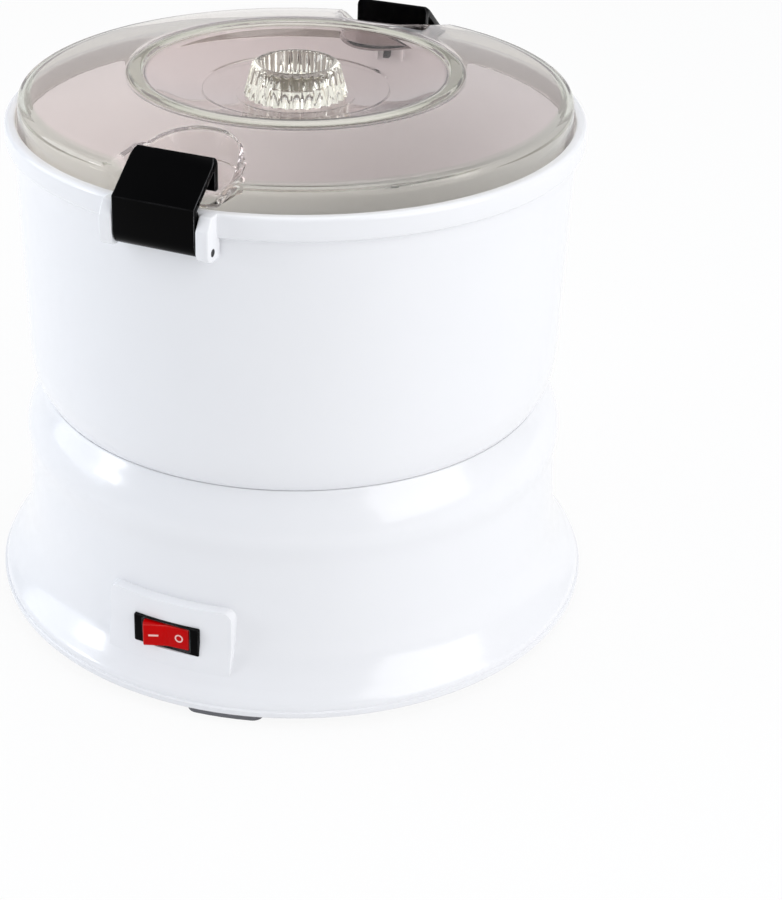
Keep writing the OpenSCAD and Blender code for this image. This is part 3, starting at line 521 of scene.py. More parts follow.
def flareProfile():
    out = housing["waistIn"]
    return smoothLine(
        shift([(-0.8, 0), (-1.4, 2.5), (-5, 7)], baseRadius, floorLevel)
        + shift([(out * 0.34, 14.5), (out * 0.15, 23.5), (out * 0.06, 35.5)], waist, floorLevel)
        + shift([(0.2, -39), (0, -29)], waist, seatLevel)
        + shift([(0, -20.5), (-0.8, -15), (-3.3, -8.5)], waist + housing["shoulder"], seatLevel)
        + shift([(1.2, -2.5), (0.1, -0.5), (-0.4, 0)], seatRadius, seatLevel), 12)


def makePanel():
    top, low = switchLevel + housing["panelTop"], floorLevel + housing["panelFoot"]
    draft, over = housing["panelDraft"], top + 10
    outline = boxOutline(housing["panelWidth"], top - low, housing["panelCorner"], (0, (top + low) / 2), 8)
    panel = frontPrism("panel", outline, waist - 16, baseRadius)
    keep(panel, lathe("face", [(0, 0)] + shift(
        [(draft, 0), (draft * 0.9, low), (0, switchLevel), (-0.4, over)], panelFace, 0)
        + [(0, over)], 360))
    soften(panel, housing["panelRound"], 5)
    cut(panel, prism("core", ringOutline(waist - 1.2, steps=180), 0, over))
    return panel


def makeHousing():
    line, under = flareProfile(), deckLevel - housing["wall"]
    tower, bore = housing["towerRadius"], housing["towerBore"]
    turnIn = seatLevel - 12  # where the inner wall leaves the outer one
    inner = [(r - housing["wall"], z) for r, z in line[::3] if z < turnIn]
    step = roundedOutline([
        (seatBore, seatLevel, 0.5), (seatBore, deckLevel, 1.0), (tower, deckLevel, 0.8),
        (tower, deckLevel + 2.6, 0.5), (bore, deckLevel + 2.6), (bore, deckLevel - 8.5),
        (tower, deckLevel - 8.5), (tower, under, 0.8), (seatBore + 2.2, under),
        (inner[-1][0], turnIn), (seatRadius, seatLevel)])[:-1]
    shell = lathe("baseHousing", line + step + inner[::-1], 360)
    gland = (0, housing["glandLevel"])
    boss = frontPrism("boss", ringOutline(9.0, gland), -waist - housing["glandOut"], -waist + 1.4)
    extra = [boss, makePanel()]
    key = boxOutline(3.4, 8.0, 0.6, (seatBore - 0.7, 0))
    extra += [turned(prism("key", key, deckLevel - 1, deckLevel + 4), 60 + 120 * k) for k in range(3)]
    out = waist - housing["postIn"]
    for k in range(4):
        a = radians(45 + 90 * k)
        post = ringOutline(4.5, (out * cos(a), out * sin(a)), 32)
        extra.append(prism("post", post, floorLevel + 0.3, under + 1))
    add(shell, *extra)
    cut(shell, switchBox("hole", *housing["hole"], waist - 24, baseRadius),
        frontPrism("bore", ringOutline(6.02, gland), -waist - 9, -waist + 9))
    cut(shell, switchBox("seat", *housing["seat"], frameFace - housing["seatDepth"], baseRadius))
    dress(shell, "whitePlastic", "base", "white_plastic", "base_housing")


makeHousing()
print("base housing made")


# bowl: outer wall, rim, floor with its raised middle, and two pairs of hinge ears

bowl = dict(
    swell=5.1, lean=1.9, rimWall=4.4, rimHeight=10.0, rimRound=1.9, wall=2.5, floorUp=5.0,
    ledge=7.5, earWidth=5.2, earGap=0.4, earRadius=3.8, latchWidth=33.0, bushBore=8.02,
    pinBore=1.52
)
bowlLow = seatRadius + bowl["swell"]
bowlTop = bowlLow + bowl["lean"]
bowlFoot = seatLevel + 0.3
bowlFloor = seatLevel + bowl["floorUp"]
ledgeLevel = rimLevel - bowl["ledge"]
rimLow = rimLevel - bowl["rimHeight"]
sleeveRadius, sleeveTop = 18.0, seatLevel + 12.7
bearingRadius, bearingTop = 12.0, sleeveTop + 13.3


def bowlProfile():
    wall, ring, lip, bush = bowl["wall"], seatBore - 0.3, bowl["rimRound"], bowl["bushBore"]
    swell, bore = bowlFoot + 20.7, rimRadius - bowl["rimWall"]
    outside = smoothLine([(seatRadius - 0.4, bowlFoot)] + shift(
        [(-3.5, 3.2), (-1.6, 8.2), (-0.5, 13.7), (0, 20.7)], bowlLow, bowlFoot), 8)
    side = [(bowlLow + (bowlTop - bowlLow) * i / 16, swell + (rimLow - 1.2 - swell) * i / 16)
            for i in range(1, 16)]
    band = smoothLine([(bowlTop, rimLow - 1.2), (bowlTop + 0.5, rimLow - 0.2)] + shift(
        [(-1.4, 0.5), (-0.3, 1.4), (0, 3)], rimRadius, rimLow), 8)
    band += arcLine((rimRadius - lip, rimLevel - lip), lip, 0, 90, 12)
    mouth = roundedOutline([
        (rimRadius - lip, rimLevel), (bore, rimLevel, 0.8), (bore, ledgeLevel, 0.4),
        (bowlTop - wall, ledgeLevel, 0.6), (bowlLow - wall, bowlFloor + 15)])[1:-1]
    floor = smoothLine(shift([(-wall, 15), (-wall - 0.6, 8.5), (-5, 3.5), (-8.5, 0.2), (-10.5, 0)],
                             bowlLow, bowlFloor), 6)
    middle = roundedOutline([
        (bowlLow - 10.5, bowlFloor), (sleeveRadius, bowlFloor, 1.5), (sleeveRadius, sleeveTop, 1.2),
        (bearingRadius, sleeveTop, 1.2), (bearingRadius, bearingTop, 0.6), (bush, bearingTop),
        (bush, sleeveTop - wall), (sleeveRadius - wall, sleeveTop - wall, 0.5),
        (sleeveRadius - wall, bowlFloor - wall, 0.8), (ring - 2.6, bowlFloor - wall, 0.8),
        (ring - 2.6, deckLevel + 0.3, 0.5), (ring, deckLevel + 0.3, 0.5), (ring, bowlFoot, 0.3),
        (seatRadius - 0.4, bowlFoot)])[1:-1]
    return outside + side + band + mouth + floor + middle


def ear(middle):
    radius, top = bowl["earRadius"], rimLevel - 0.03
    wallIn, half = bowlTop - bowl["wall"] / 2, bowl["earWidth"] / 2
    outline = [(wallIn, hingeLevel - radius)] + arcLine((hingeOut, hingeLevel), radius, -90, 0, 12)
    outline += roundedOutline([(hingeOut + radius, hingeLevel), (hingeOut + radius, rimLevel - 5, 2.5),
                               (hingeOut + 0.6, top, 1.6), (wallIn, top)])[1:]
    thing = prism("ear", outline, middle - half, middle + half, True)
    soften(thing, 0.7, limit=50)
    return thing


def makeBowl():
    shell = lathe("bowlShell", bowlProfile(), 300)
    middle = bowl["latchWidth"] / 2 + bowl["earGap"] + bowl["earWidth"] / 2
    extra = [turned(ear(side * middle), turn) for turn in (0, 180) for side in (-1, 1)]
    for x in (-9.0, 3.0):  # guide of the key
        rib = boxOutline(1.2, 4.0, 0.3, (x, bowlTop - bowl["wall"] - 0.6))
        extra.append(prism("rib", rib, ledgeLevel - 7, ledgeLevel - 1.4))
    add(shell, *extra)
    slot = boxOutline(4.2, 8.6, 0.3, (seatBore - 1.6, 0))
    tools = [turned(prism("slot", slot, deckLevel - 1, deckLevel + 4.3), 60 + 120 * k) for k in range(3)]
    hole, reach = ringOutline(bowl["pinBore"], (hingeOut, hingeLevel), 40), 1.5 * bowl["latchWidth"]
    tools += [turned(prism("hole", hole, -reach, reach, True), turn) for turn in (0, 180)]
    cut(shell, *tools)
    dress(shell, "whitePlastic", "bowl", "white_plastic", "bowl")


makeBowl()
print("bowl made")


# lid: one clear sheet with a raised ring, a dished middle and a pocket under each latch

lid = dict(
    wall=2.2, rise=8.4, ring=64.3, dish=11.2, edgeRound=2.4, bead=1.0, band=2.2,
    crease=37.0, pocketRadius=18.0, pocketIn=20.2, pocketWall=1.3, mouth=26.5, narrow=19.5,
    floorUp=3.5, sillUp=-1.3, breakIn=8.2, corner=0.6, foot=0.8, draft=0.35, splay=7.0
)
edgeRadius = lidRadius - 0.8
lidEdge = crestLevel - lid["rise"]
dishLevel = crestLevel - lid["dish"]
pocketBack = lidRadius - lid["pocketIn"]
knobRadius = 21.0


def lidTopLine():
    edge, ring, band, crease = [lid[key] for key in ("edgeRound", "ring", "band", "crease")]
    bead = crestLevel - lid["bead"]
    skirt = [(edgeRadius + (lidRadius - edgeRadius) * t, lidEdge - edge + (lidLevel - lidEdge + edge) * t)
             for t in (1, 0.8, 0.6, 0.4, 0.2, 0.05)]
    turn = arcLine((edgeRadius - edge, lidEdge - edge), edge, 0, 82, 9)
    slope = smoothLine(shift([(-edge - 1.2, 0.15), (-6, 0.8), (-20, 3.7)], edgeRadius, lidEdge)
                       + shift([(8, -0.3), (band + 1.5, 0)], ring, bead), 8)
    rise = smoothLine([(ring + band + 0.8, bead + 0.15)] + shift(
        [(band + 0.2, -0.35), (band - 0.5, -0.05), (0, 0), (0.4 - band, -0.12), (-band - 0.3, -0.5),
         (-band - 0.8, -1.1)], ring, crestLevel), 3)
    dish = smoothLine([(ring - band - 1.6, crestLevel - 1.7), (ring - 12, crestLevel - 4.6)] + shift(
        [(crease + 1.2, 3.05), (crease + 0.4, 2.85), (crease, 2.6), (26, 0.6),
         (knobRadius + 1.5, 0), (12, 0)], 0, dishLevel), 6)
    return (skirt + turn + slope + rise + dish + [(0, dishLevel)])[::-1]


def lidUnderLine():
    wall, inner, top = lid["wall"], lidRadius - lid["wall"], lidEdge - lid["wall"]
    under = [(r, z - wall) for r, z in lidTopLine() if r < edgeRadius - lid["edgeRound"] - 2.5]
    turn = arcLine((inner - 2.6, top - 2.3), 2.3, 85, 4, 7)
    skirt = [(inner - 0.2 + 0.2 * t, top - 2.6 + (lidLevel - top + 2.6) * t) for t in (0.2, 0.5, 0.8, 1)]
    return under + turn + skirt


def heightAt(line, radius):
    for (r0, z0), (r1, z1) in zip(line, line[1:]):
        if r0 <= radius <= r1 and r1 > r0:
            return z0 + (z1 - z0) * (radius - r0) / (r1 - r0)
    return line[-1][1]


def pocketLean(mouth):
    return atan2(mouth - lid["pocketRadius"], lidRadius + 4 - pocketBack)


# Distance inside a pocket's edge, below zero outside it; the mouth is as wide as given
def pocketDepth(x, y, mouth):
    radius, lean = lid["pocketRadius"], pocketLean(mouth)
    x, y = abs(x), abs(y) - pocketBack
    if y * cos(lean) + x * sin(lean) <= 0:
        return radius - hypot(x, y)
    return radius - (x * cos(lean) - y * sin(lean))


# A pocket's edge from one side of its mouth to the other, pushed outwards by grow
def pocketEdge(grow, mouth, steps=96):
    radius, lean = lid["pocketRadius"] + grow, pocketLean(mouth)
    turns = [-lean + (pi + 2 * lean) * i / steps for i in range(steps + 1)]
    arc = [(-radius * cos(t), radius * sin(t) - pocketBack) for t in turns]
    x, y = arc[0]
    reach = lidRadius + 6 - pocketBack
    side = [(x - d * tan(lean), y - d) for d in (reach * i / 22 for i in range(22, 0, -1))]
    return side + arc + [(-x, y) for x, y in side[::-1]]


def pocketFloor(y):
    inner, outer = lidRadius - lid["breakIn"], lidRadius + 6
    level, sill = rimLevel + lid["floorUp"], rimLevel + lid["sillUp"]
    t = min(max((abs(y) - inner) / (outer - inner), 0), 1)
    return level + (sill - level) * t


# Height of a sheet at a point: the turned line, and the pockets' walls and floors below it
def sheetLevel(line, drop, grow, x, y):
    corner, foot, bottom = lid["corner"], lid["foot"], lid["draft"]
    height = heightAt(line, hypot(x, y))
    if abs(x) > lid["mouth"] + 6 or abs(y) < 60:
        return height
    inside = pocketDepth(x, y, lid["mouth"]) + grow
    floor = pocketFloor(y) - drop
    if inside <= -corner or floor >= height:
        return height
    if inside < 0:  # rounded brim of the wall
        return height - corner * (1 - sqrt(1 - ((inside + corner) / corner) ** 2)) * 0.98
    deep = max(pocketDepth(x, y, lid["narrow"]) + grow, inside - lid["splay"])
    if deep < bottom:  # wall, upright inside and splayed at the mouth
        t = inside / max(inside - deep + bottom, bottom)
        return (height - corner) * (1 - t) + min(floor + foot, height) * t
    if deep < bottom + foot:  # rounded foot of the wall
        t = 1 - (deep - bottom) / foot
        return min(floor + foot * (1 - sqrt(1 - t * t)), height)
    return min(floor, height)


def lidSheet(line, drop, grow):
    corner, wall, outer = lid["corner"], lid["draft"], line[-1][0]
    points, edges = [(0.0, 0.0)], []

    def chain(row, allowed, closed=False):
        index = []
        for p in row:
            good = allowed(*p)
            index.append(len(points) if good else None)
            if good:
                points.append(p)
        for a, b in zip(index, index[1:] + (index[:1] if closed else [])):
            if a is not None and b is not None:
                edges.append((a, b))

    def clear(x, y):
        inside = pocketDepth(x, y, lid["mouth"]) + grow
        atEdge = hypot(x, y) > edgeRadius - lid["edgeRound"] - 2
        return atEdge or abs(y) < 60 or inside < -corner - 0.5 or inside > lid["splay"] + 3

    def ring(radius, count, allowed):
        turns = [tau * i / count for i in range(count)]
        chain([(radius * sin(t), -radius * cos(t)) for t in turns], allowed, True)

    for radius in sorted({round(p[0], 4) for p in line if p[0] > 0.5})[:-1]:
        ring(radius, 288 if radius > 50 else 96, clear)
    ring(outer, 360, lambda x, y: True)
    for mouth, pushes in (("mouth", (corner, corner * 0.6, corner * 0.25, 0.0)),
                          ("narrow", (-wall, -wall - 0.2, -wall - 0.45, -wall - 0.8))):
        for push in pushes:
            row = pocketEdge(grow + push, lid[mouth])
            for side in (1, -1):
                chain([(side * x, side * y) for x, y in row], lambda x, y: hypot(x, y) < outer - 0.25)
    made = delaunay_2d_cdt([Vector(p) for p in points], edges, [], 0, 1e-4)
    return [Vector((p.x, p.y, sheetLevel(line, drop, grow, p.x, p.y))) for p in made[0]], made[2], outer


def makeLid():
    bm = bmesh.new()
    brims = []
    for line, drop, grow in ((lidTopLine(), 0.0, 0.0), (lidUnderLine(), lid["wall"], lid["pocketWall"])):
        vertices, faces, outer = lidSheet(line, drop, grow)
        made = [bm.verts.new(v * mm) for v in vertices]
        for face in faces:
            bm.faces.new([made[i] for i in face])
        brim = [v for v, w in zip(made, vertices) if hypot(w.x, w.y) > outer - 0.001]
        brims.append(sorted(brim, key=lambda v: atan2(v.co.x, -v.co.y)))
    bridge(bm, *brims)
    dress(fromBmesh("lidShell", bm, 38), "lidPlastic", "lid", "clear_plastic", "lid")


makeLid()
print("lid made")


# knob: fluted wall, hollow top

knob = dict(
    height=13.0, draw=2.3, flutes=28, rib=1.5, cupFoot=12.5, cupMouth=14.5, cupLevel=4.0,
    lift=0.02
)


def knobFlute(radius, height, turn):
    rise = (height - dishLevel) / knob["height"]
    core = knobRadius - knob["rib"] - knob["draw"] * rise
    if radius < core - 0.6:
        return radius, height
    pitch = tau / knob["flutes"]
    across = abs((turn / pitch + 0.5) % 1 - 0.5) * pitch * core
    rib = sqrt(max(knob["rib"] ** 2 - across ** 2, 0)) * min(1, (1.02 - rise) / 0.16)
    proud = min(max((radius - core + 0.6) / 0.6, 0), 1)
    return radius + rib * proud, height


def makeKnob():
    top, low = dishLevel + knob["height"], dishLevel + knob["lift"]
    core, cup = knobRadius - knob["rib"], dishLevel + knob["cupLevel"]
    crown = core - knob["draw"] - 1.4
    rise = knob["height"] - 1.6
    wall = [(core - knob["draw"] * t, low + rise * t) for t in [i / 10 for i in range(11)]]
    wall += arcLine((crown, top - 1.5), 1.5, 12, 88, 6)
    hollow = roundedOutline([(crown, top), (knob["cupMouth"], top, 0.9), (knob["cupFoot"], cup, 2.0),
                             (0.0, cup)])[1:]
    thing = lathe("knobShell", [(0.0, low)] + wall + hollow, knob["flutes"] * 12, knobFlute, 40)
    dress(thing, "knobPlastic", "lid", "clear_plastic", "lid_knob")


makeKnob()
print("knob made")


# latch: bent plate with cheeks and a barrel round its pin

latch = dict(
    width=33.0, wall=2.4, frontOut=3.4, tipIn=15.6, topUp=17.3, bendUp=2.8, lipUp=4.0,
    barrel=3.3, bore=1.55, cheek=2.0, corner=3.8, edge=0.5, belly=6.0
)
latchFront, latchTip = hingeOut + latch["frontOut"], hingeOut - latch["tipIn"]
latchTop, latchBend = rimLevel + latch["topUp"], rimLevel + latch["bendUp"]


def latchOutline():
    wall, front, tip, top, bend = latch["wall"], latchFront, latchTip, latchTop, latchBend
    lip = rimLevel + latch["lipUp"]
    roof = atan2(top - bend, front - tip)
    under, fall = wall / cos(roof), wall * tan(roof)
    return roundedOutline([
        (front, hingeLevel), (front, bend, 0.5), (tip, top, 1.0), (tip, lip, 0.6), (tip + wall, lip, 0.5),
        (tip + wall, top - under - fall, 0.8), (front - wall, bend - under + fall, 1.0),
        (front - wall, hingeLevel)], 8)


def makeLatch(name, turn, node):
    half, front, tip = latch["width"] / 2, latchFront, latchTip
    pin, near = (hingeOut, hingeLevel), rimRadius + 0.3
    thing = prism(name, latchOutline(), -half, half, True)
    extra = [prism("barrel", ringOutline(latch["barrel"], pin, 56), -half, half, True)]
    cheek = [(near, hingeLevel), (front - 1, hingeLevel), (front - 1, latchBend - 2),
             (near + 1, latchBend - 1.5), (near, latchBend - 4)]
    inner, outer = half - latch["cheek"], half - 0.01
    for low, high in ((-outer, -inner), (inner, outer)):
        extra.append(prism("cheek", cheek, low, high, True))
    add(thing, *extra)
    low, foot, high = hingeLevel - 12, hingeLevel - latch["barrel"], rimLevel + 30
    top, corner = latchTop, latch["corner"]
    arch = [(-half, low), (half, low), (half, top, corner), (-half, top, corner)]
    side = [(tip - 5, foot), (front, foot, latch["belly"]), (front, high), (tip - 5, high)]
    keep(thing, frontPrism("arch", roundedOutline(arch, 8), tip - 5, front + 4))
    keep(thing, prism("side", roundedOutline(side, 12), -half - 1, half + 1, True))
    soften(thing, latch["edge"])
    cut(thing, prism("bore", ringOutline(latch["bore"], pin, 40), -half - 1, half + 1, True))
    dress(turned(thing, turn), "blackPlastic", node, "black_plastic", node)


makeLatch("frontLatch", 0, "front_latch")
makeLatch("rearLatch", 180, "rear_latch")
print("latches made")


# switch: frame, rocker and its two marks

switch = dict(
    width=28.7, height=12.5, bar=4.3, edge=1.2, gap=0.2, depth=22.0, sunk=1.6,
    flange=2.4, pivotIn=3.2, valley=2.0, peak=3.9, tilt=13.0, faceTurn=20.4, backTurn=16.2,
    axle=1.0, markWidth=4.0, markBar=0.75, markOut=5.2, ring=1.75, ringBore=1.2
)
switchFace = frameFace - switch["sunk"]
rockerEnd = switch["width"] / 2 - switch["bar"] - switch["gap"]
rockerHeight = switch["height"] - 2 * (switch["edge"] + switch["gap"])
pivotOut = frameFace - switch["pivotIn"]


def makeSwitchFrame():
    gap, out = switch["gap"], frameFace + 1
    half = rockerHeight / 2 + gap
    back = switchFace - switch["flange"]
    thing = switchBox("switchFrame", switch["width"], switch["height"], 0.6, back, switchFace)
    soften(thing, 0.3)
    add(thing, switchBox("body", 26.4, 11.8, 0.5, frameFace - switch["depth"] + 0.2, switchFace - 1.0))
    well = prism("well", ringOutline(rockerEnd + gap, steps=64), switchLevel - half, switchLevel + half)
    well.data.transform(Matrix.Translation((0, -pivotOut * mm, 0)))
    cut(thing, switchBox("mouth", 2 * (rockerEnd + gap), 2 * half, 0.4, pivotOut, out))
    cut(thing, well)
    cut(thing, switchBox("lip", 2 * rockerEnd + 1.4, rockerHeight + 1.2, 0.6, switchFace - 0.5, out))
    dress(thing, "blackPlastic", "base", "black_plastic", "switch_frame")


def onRocker(thing):
    spin = Matrix.Rotation(radians(switch["tilt"]), 4, "Z")
    thing.data.transform(Matrix.Translation((0, -pivotOut * mm, switchLevel * mm)) @ spin)
    return thing


def makeRocker():
    front, back, half = switch["faceTurn"], switch["backTurn"], rockerHeight / 2
    across, down = rockerEnd * cos(radians(front)), -rockerEnd * sin(radians(front))
    outline = roundedOutline([(-across, down), (0.0, -switch["valley"], 9.0), (across, down)], 8)[1:-1]
    outline += arcLine((0, 0), rockerEnd, -front, back, 14) + [(4.0, 5.0), (-4.0, 5.0)]
    outline += arcLine((0, 0), rockerEnd, 180 - back, 180 + front, 14)
    thing = prism("switchRocker", outline, -half, half)
    soften(thing, 0.35, limit=30)
    add(thing, prism("axle", ringOutline(switch["axle"], steps=32), -half - 0.9, half + 0.9))
    dress(onRocker(thing), "redPlastic", "rocker", "red_plastic", "switch_rocker")


# Marks lie on the rocker's two slopes: a bar on the raised end, a ring on the pressed one
def makeMarks():
    bm = bmesh.new()
    rise, run = switch["peak"] - switch["valley"], rockerEnd + 2
    out, ring = switch["markOut"], [ringOutline(switch[key], steps=40) for key in ("ring", "ringBore")]
    for center, lines in ((-out, [boxOutline(switch["markWidth"], switch["markBar"], 0.2)]), (out, ring)):
        face = -(switch["valley"] + rise * abs(center) / run) - 0.015
        lean = Matrix.Rotation(copysign(atan2(rise, run), -center), 4, "Z")
        spot = Matrix.Translation((center, face, 0)) @ lean
        levels = [[[bm.verts.new((spot @ Vector((x, depth, z))) * mm) for x, z in line] for line in lines]
                  for depth in (0.05, -0.10)]
        for first, second in zip(*levels):
            bridge(bm, first, second)
        for level in levels:
            if len(level) > 1:
                bridge(bm, *level)
            else:
                bm.faces.new(level[0])
    dress(onRocker(fromBmesh("switchMarks", bm)), "markPaint", "rocker", "white_plastic")


makeSwitchFrame()
makeRocker()
makeMarks()
print("switch made")


# peeling disc: plate with a hub, ridges, drain holes and a skirt

disc = dict(
    gap=5.0, thick=3.5, skirt=4.0, hubUp=5.0, bore=5.02, drains=12, drainRadius=2.2,
    drainIn=4.2, ridges=3, ridgeRadius=6.0, ridgeDrop=1.2, padIn=26.0, padGap=8.0
)
discRadius = bowlLow - bowl["wall"] - disc["gap"]
padRadius = discRadius - disc["padGap"]
hubTop = bearingTop + disc["hubUp"]


def discProfile():
    low, top, hub, inner = discTop - disc["thick"], discTop, sleeveRadius, bearingRadius + 1.9
    foot, bore = low - disc["skirt"], disc["bore"]
    upper = roundedOutline([
        (discRadius - 2.5, low), (discRadius - 2.5, foot, 0.6), (discRadius, foot, 0.8),
        (discRadius, top, 1.5), (hub + 6, top)], 6)[1:-1]
    rise = smoothLine([(hub + 6, top), (hub + 2.5, top + 1), (hub + 0.6, top + 3.5),
                       (hub - 1, hubTop - 2)], 6)
    cap = roundedOutline([(hub - 1, hubTop - 2), (hub - 1.6, hubTop, 1.6), (bore, hubTop),
                          (bore, hubTop - 2.5), (inner, hubTop - 2.5, 0.5), (inner, low, 0.5),
                          (discRadius - 2.5, low)], 6)[1:-1]
    return upper + rise + cap + [(discRadius - 2.5, low)]


def ridge(radius, start, end, level, turn):
    line = arcLine((0, start), radius, -90, 0, 12) + arcLine((0, end), radius, 0, 90, 12)
    thing = lathe("ridge", line, 48)
    spin = Matrix.Rotation(radians(turn), 4, "Z") @ Matrix.Rotation(radians(90), 4, "Y")
    thing.data.transform(Matrix.Translation((0, 0, level * mm)) @ spin)
    return thing


def makeDisc():
    thing = lathe("peelingDisc", discProfile())
    start, end, level = disc["padIn"] + 6, padRadius - 8, discTop - disc["ridgeDrop"]
    bars = merge("bars", [ridge(disc["ridgeRadius"], start, end, level, 30 + 120 * k)
                          for k in range(disc["ridges"])])
    cut(bars, prism("lower", ringOutline(discRadius), discTop - 20, discTop - 1))
    add(thing, bars)
    cut(thing, *[prism("drain", ringOutline(disc["drainRadius"], where, 24), discTop - 6, discTop + 3)
                 for where in ringOutline(discRadius - disc["drainIn"], steps=disc["drains"])])
    dress(thing, "whitePlastic", "disc", "white_plastic", "peeling_disc")


# grit: a sheet of coarse grains bonded to the plate

grit = dict(size=0.85, height=0.42, around=540, edge=0.62, seed=7)


def makeGrit():
    chance = random.Random(grit["seed"])
    bm = bmesh.new()
    rows = []
    size, around, start = grit["size"], grit["around"], disc["padIn"]
    width = padRadius - start
    count = int(width / size)
    for i in range(count + 1):
        inside = 0 < i < count
        row = []
        for k in range(around):
            t = tau * (k + 0.5 * (i % 2)) / around
            r = start + width * i / count
            r += chance.uniform(-0.25, 0.25) * size if inside else 0
            t += chance.uniform(-0.2, 0.2) / around
            lift = 1.0 - grit["height"] * chance.random() ** 1.6 if inside else grit["edge"]
            row.append(bm.verts.new((r * mm * cos(t), r * mm * sin(t), (discTop + lift) * mm)))
        rows.append(row)
    for i in range(count):
        for k in range(around):
            n = (k + 1) % around
            a, b, c, d = rows[i][k], rows[i][n], rows[i + 1][n], rows[i + 1][k]
            for corners in ((a, b, d), (b, c, d)) if i % 2 else ((a, c, d), (a, b, c)):
                bm.faces.new(corners)
    lows = []
    for row in (rows[0], rows[-1]):
        lows.append([bm.verts.new((v.co.x, v.co.y, (discTop + 0.02) * mm)) for v in row])
        bridge(bm, row, lows[-1])
    bridge(bm, *lows)
    dress(fromBmesh("gritPad", bm, 180), "gritSheet", "disc", "abrasive", "abrasive_pad")


def makeGritSheet():
    material, tree, shader = newMaterial("gritSheet", {"IOR": 1.6})
    grain = place(tree, "TexVoronoi", {"Vector": objectPoint(tree), "Scale": 1100.0}).outputs
    shade = place(tree, "SeparateColor", {0: grain["Color"]}).outputs
    cloud = remap(tree, noise(tree, 60.0, 4.0, 0.6), 0.35, 0.7)
    tone = blendColor(tree, shade[0], (0.10, 0.098, 0.095), (0.46, 0.45, 0.43))
    tone = blendColor(tree, calc(tree, "MULTIPLY", cloud, 0.45), tone, (0.30, 0.26, 0.21))
    surface(tree, shader, tone, 0.35, [(shade[1], 0.5)], grain["Distance"], 0.5, 0.25)
    return material


finish["gritSheet"] = makeGritSheet()
makeDisc()
makeGrit()
print("peeling disc made")


# nut on the spindle: a domed cap with finger notches

nut = dict(radius=11.0, height=12.0, notches=8, notchRadius=3.0, notchOut=1.8, bore=4.22)


def nutNotch(radius, height, turn):
    if radius < nut["radius"] - 3.5:
        return radius, height
    pitch, notch, out = tau / nut["notches"], nut["notchRadius"], nut["radius"] + nut["notchOut"]
    away = ((turn / pitch + 0.5) % 1 - 0.5) * pitch
    across = out * sin(abs(away))
    if across >= notch:
        return radius, height
    return min(radius, out * cos(away) - sqrt(notch ** 2 - across ** 2)), height


def makeNut():
    radius, bore, wide = nut["radius"], nut["bore"], disc["bore"]
    low, top = hubTop + 0.02, hubTop + nut["height"]
    side = roundedOutline([(wide, low), (radius, low, 0.5), (radius, top - 2.2, 1.8),
                           (radius - 3.4, top, 2.2), (0.0, top)], 6)[1:]
    inside = shift([(0.0, 9.4), (bore, 9.4), (bore, 1.2), (wide, 1.2), (wide, 0.02)], 0, hubTop)
    wall = [(radius, low + 0.8 + i) for i in range(1, 7)]
    first, rest = [p for p in side if p[1] < low + 0.7], [p for p in side if p[1] >= low + 7.2]
    thing = lathe("spindleNut", first + wall + rest + inside, shape=nutNotch, sharp=40)
    dress(thing, "couplingPlastic", "disc", "black_plastic", "disc_nut")


# gland at the back, where the mains lead enters: (radius, distance out of the housing)

def makeGland():
    profile = roundedOutline([
        (3.75, 3.5), (3.75, -11.5), (5.6, -11.5, 0.4), (6.7, -9.05, 0.3), (6.0, -9.05), (6.0, 0.02),
        (8.6, 0.02, 0.3), (8.6, 1.5, 0.5), (6.2, 3.5, 0.8)], 4)
    thing = turned(lathe("leadGland", profile, 96), -90, "X")
    out = waist + housing["glandOut"]
    thing.data.transform(Matrix.Translation((0, out * mm, housing["glandLevel"] * mm)))
    dress(thing, "softRubber", "base", "black_plastic", "cord_gland")


makeNut()
makeGland()
print("nut and gland made")


# finishes of the pieces kept as they are packed

finishes = {
    "whitePlastic": ["base_plate"], "footRubber": ["feet"], "softRubber": ["shaft_seal"],
    "blackPlastic": ["lid_key"], "couplingPlastic": ["drive_coupling", "driven_coupling"],
    "gearPlastic": ["motor_fan", "motor_pinion", "output_gear"], "brassSheet": ["switch_terminals"],
    "zincSteel": ["base_screws", "motor_plate", "plate_screws", "motor_bracket", "motor_spacers",
                  "motor_bolts", "motor_nuts", "output_clip"],
    "groundSteel": ["motor_shaft", "output_shaft", "spindle"],
    "darkSteel": ["front_hinge_pin", "rear_hinge_pin"], "coreSteel": ["motor_stator", "motor_rotor"],
    "copperWire": ["motor_windings"], "bronzeBush": ["motor_bushes", "output_bushes", "bowl_bush"],
}
for coat, nodes in finishes.items():
    for node in nodes:
        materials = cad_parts[node].data.materials
        materials.clear()
        materials.append(finish[coat])
print("packed pieces dressed")


# floor, studio light and camera

studio = {
    "floor": 0.86, "cloudy": 0.985, "lift": 0.9, "sky": 0.58, "skyColor": (0.935, 0.96, 1.0),
    # size, watts, place, aim, colour; the soft box makes bright patches on shoulder and flare
    "lamps": {
        "keyPanel": ((1.5, 1.7), 19.0, (1.75, -0.35, 1.0), (0, 0, 0.1), (1.0, 0.99, 0.985)),
        "topPanel": ((1.2, 1.2), 7.0, (0.1, 0.3, 1.6), (0, 0, 0.15), (1.0, 1.0, 1.0)),
        "coolPanel": ((1.0, 1.1), 7.5, (-1.3, -0.4, 0.6), (0, 0, 0.1), (0.88, 0.93, 1.0)),
        "softBox": ((0.26, 0.24), 1.6, (-1.02, -0.74, 0.36), (0, 0, 0.05), (0.97, 0.98, 1.0)),
    },
}


# Rays of the kinds named see the plain bright background
def seenBy(tree, kinds):
    path = place(tree, "LightPath").outputs
    seen = path["Is Camera Ray"]
    for kind in kinds:
        seen = calc(tree, "MAXIMUM", seen, path[kind])
    return seen


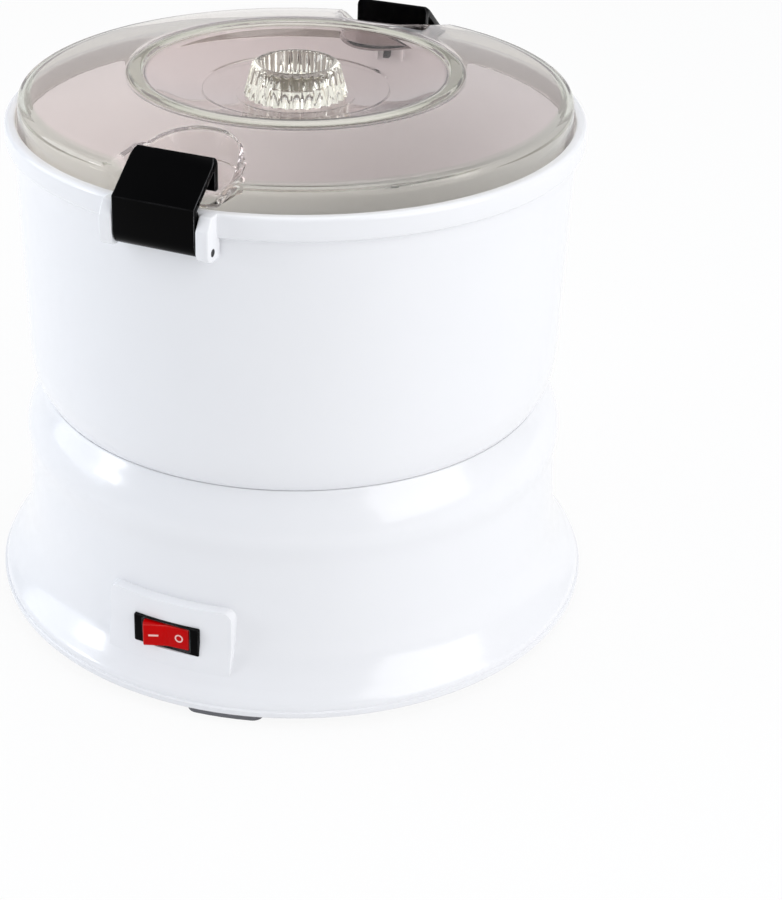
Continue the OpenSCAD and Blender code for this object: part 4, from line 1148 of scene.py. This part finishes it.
def makeFloor():
    bm = bmesh.new()
    bmesh.ops.create_circle(bm, cap_ends=True, radius=6.0, segments=96)
    thing = fromBmesh("floor", bm)
    material, tree, shader = newMaterial("paleFloor", {"Roughness": 0.9, "IOR": 1.3})
    pale, cloudy = [(studio["floor"] * part,) * 3 for part in (1.0, studio["cloudy"])]
    tone = blendColor(tree, noise(tree, 3.0, 3.0), pale, cloudy)
    tree.links.new(tone, shader.inputs["Base Color"])
    bright = place(tree, "Emission", {"Strength": 1.0})
    seen = seenBy(tree, ("Is Transmission Ray", "Is Glossy Ray"))
    eitherShader(tree, calc(tree, "MULTIPLY", seen, studio["lift"]), shader, bright)
    thing.data.materials.append(material)


def makeWorld():
    world = bpy.data.worlds.new("studio")
    bpy.context.scene.world = world
    world.use_nodes = True
    tree = world.node_tree
    soft = tree.nodes["Background"]
    feed(tree, soft.inputs["Color"], studio["skyColor"])
    feed(tree, soft.inputs["Strength"], studio["sky"])
    plain = place(tree, "Background", {"Color": (1.0, 1.0, 1.0), "Strength": 1.0})
    eitherShader(tree, seenBy(tree, ("Is Transmission Ray",)), soft, plain, "World Output")


def makeLamps():
    for name, (size, power, spot, aim, color) in studio["lamps"].items():
        lamp = bpy.data.lights.new(name, "AREA")
        lamp.shape, (lamp.size, lamp.size_y) = "RECTANGLE", size
        lamp.energy, lamp.color = power, color
        thing = linkObject(name, lamp)
        thing.location = spot
        thing.rotation_euler = (Vector(aim) - Vector(spot)).to_track_quat("-Z", "Y").to_euler()


makeFloor()
makeWorld()
makeLamps()
print("studio made")

# angles in degrees; focal length and picture centre in the photograph's pixels
view = dict(
    target=(0.0, 0.0, 0.117), distance=0.822, pitch=25.68, azimuth=24.5, roll=0.45,
    focal=1930.0, center=(294.0, 318.8), frame=(782, 900), sensor=36.0, clip=(0.01, 30.0)
)


def makeCamera():
    pitch, turn, roll = [radians(view[k]) for k in ("pitch", "azimuth", "roll")]
    back = Vector((sin(turn) * cos(pitch), -cos(turn) * cos(pitch), sin(pitch)))
    right = Vector((cos(turn), sin(turn), 0.0))
    tilted = right * cos(roll) + back.cross(right) * sin(roll)
    lens = bpy.data.cameras.new("camera")
    wide, high = view["frame"]
    lens.sensor_width, lens.lens = view["sensor"], view["focal"] * view["sensor"] / high
    lens.shift_x = (wide / 2 - view["center"][0]) / high
    lens.shift_y = (view["center"][1] - high / 2) / high
    lens.clip_start, lens.clip_end = view["clip"]
    thing = linkObject("camera", lens)
    basis = Matrix((tilted, back.cross(tilted), back)).transposed().to_4x4()
    thing.matrix_world = Matrix.Translation(Vector(view["target"]) + back * view["distance"]) @ basis
    bpy.context.scene.camera = thing


makeCamera()
bpy.context.scene.view_settings.view_transform = "Standard"
print("camera placed")
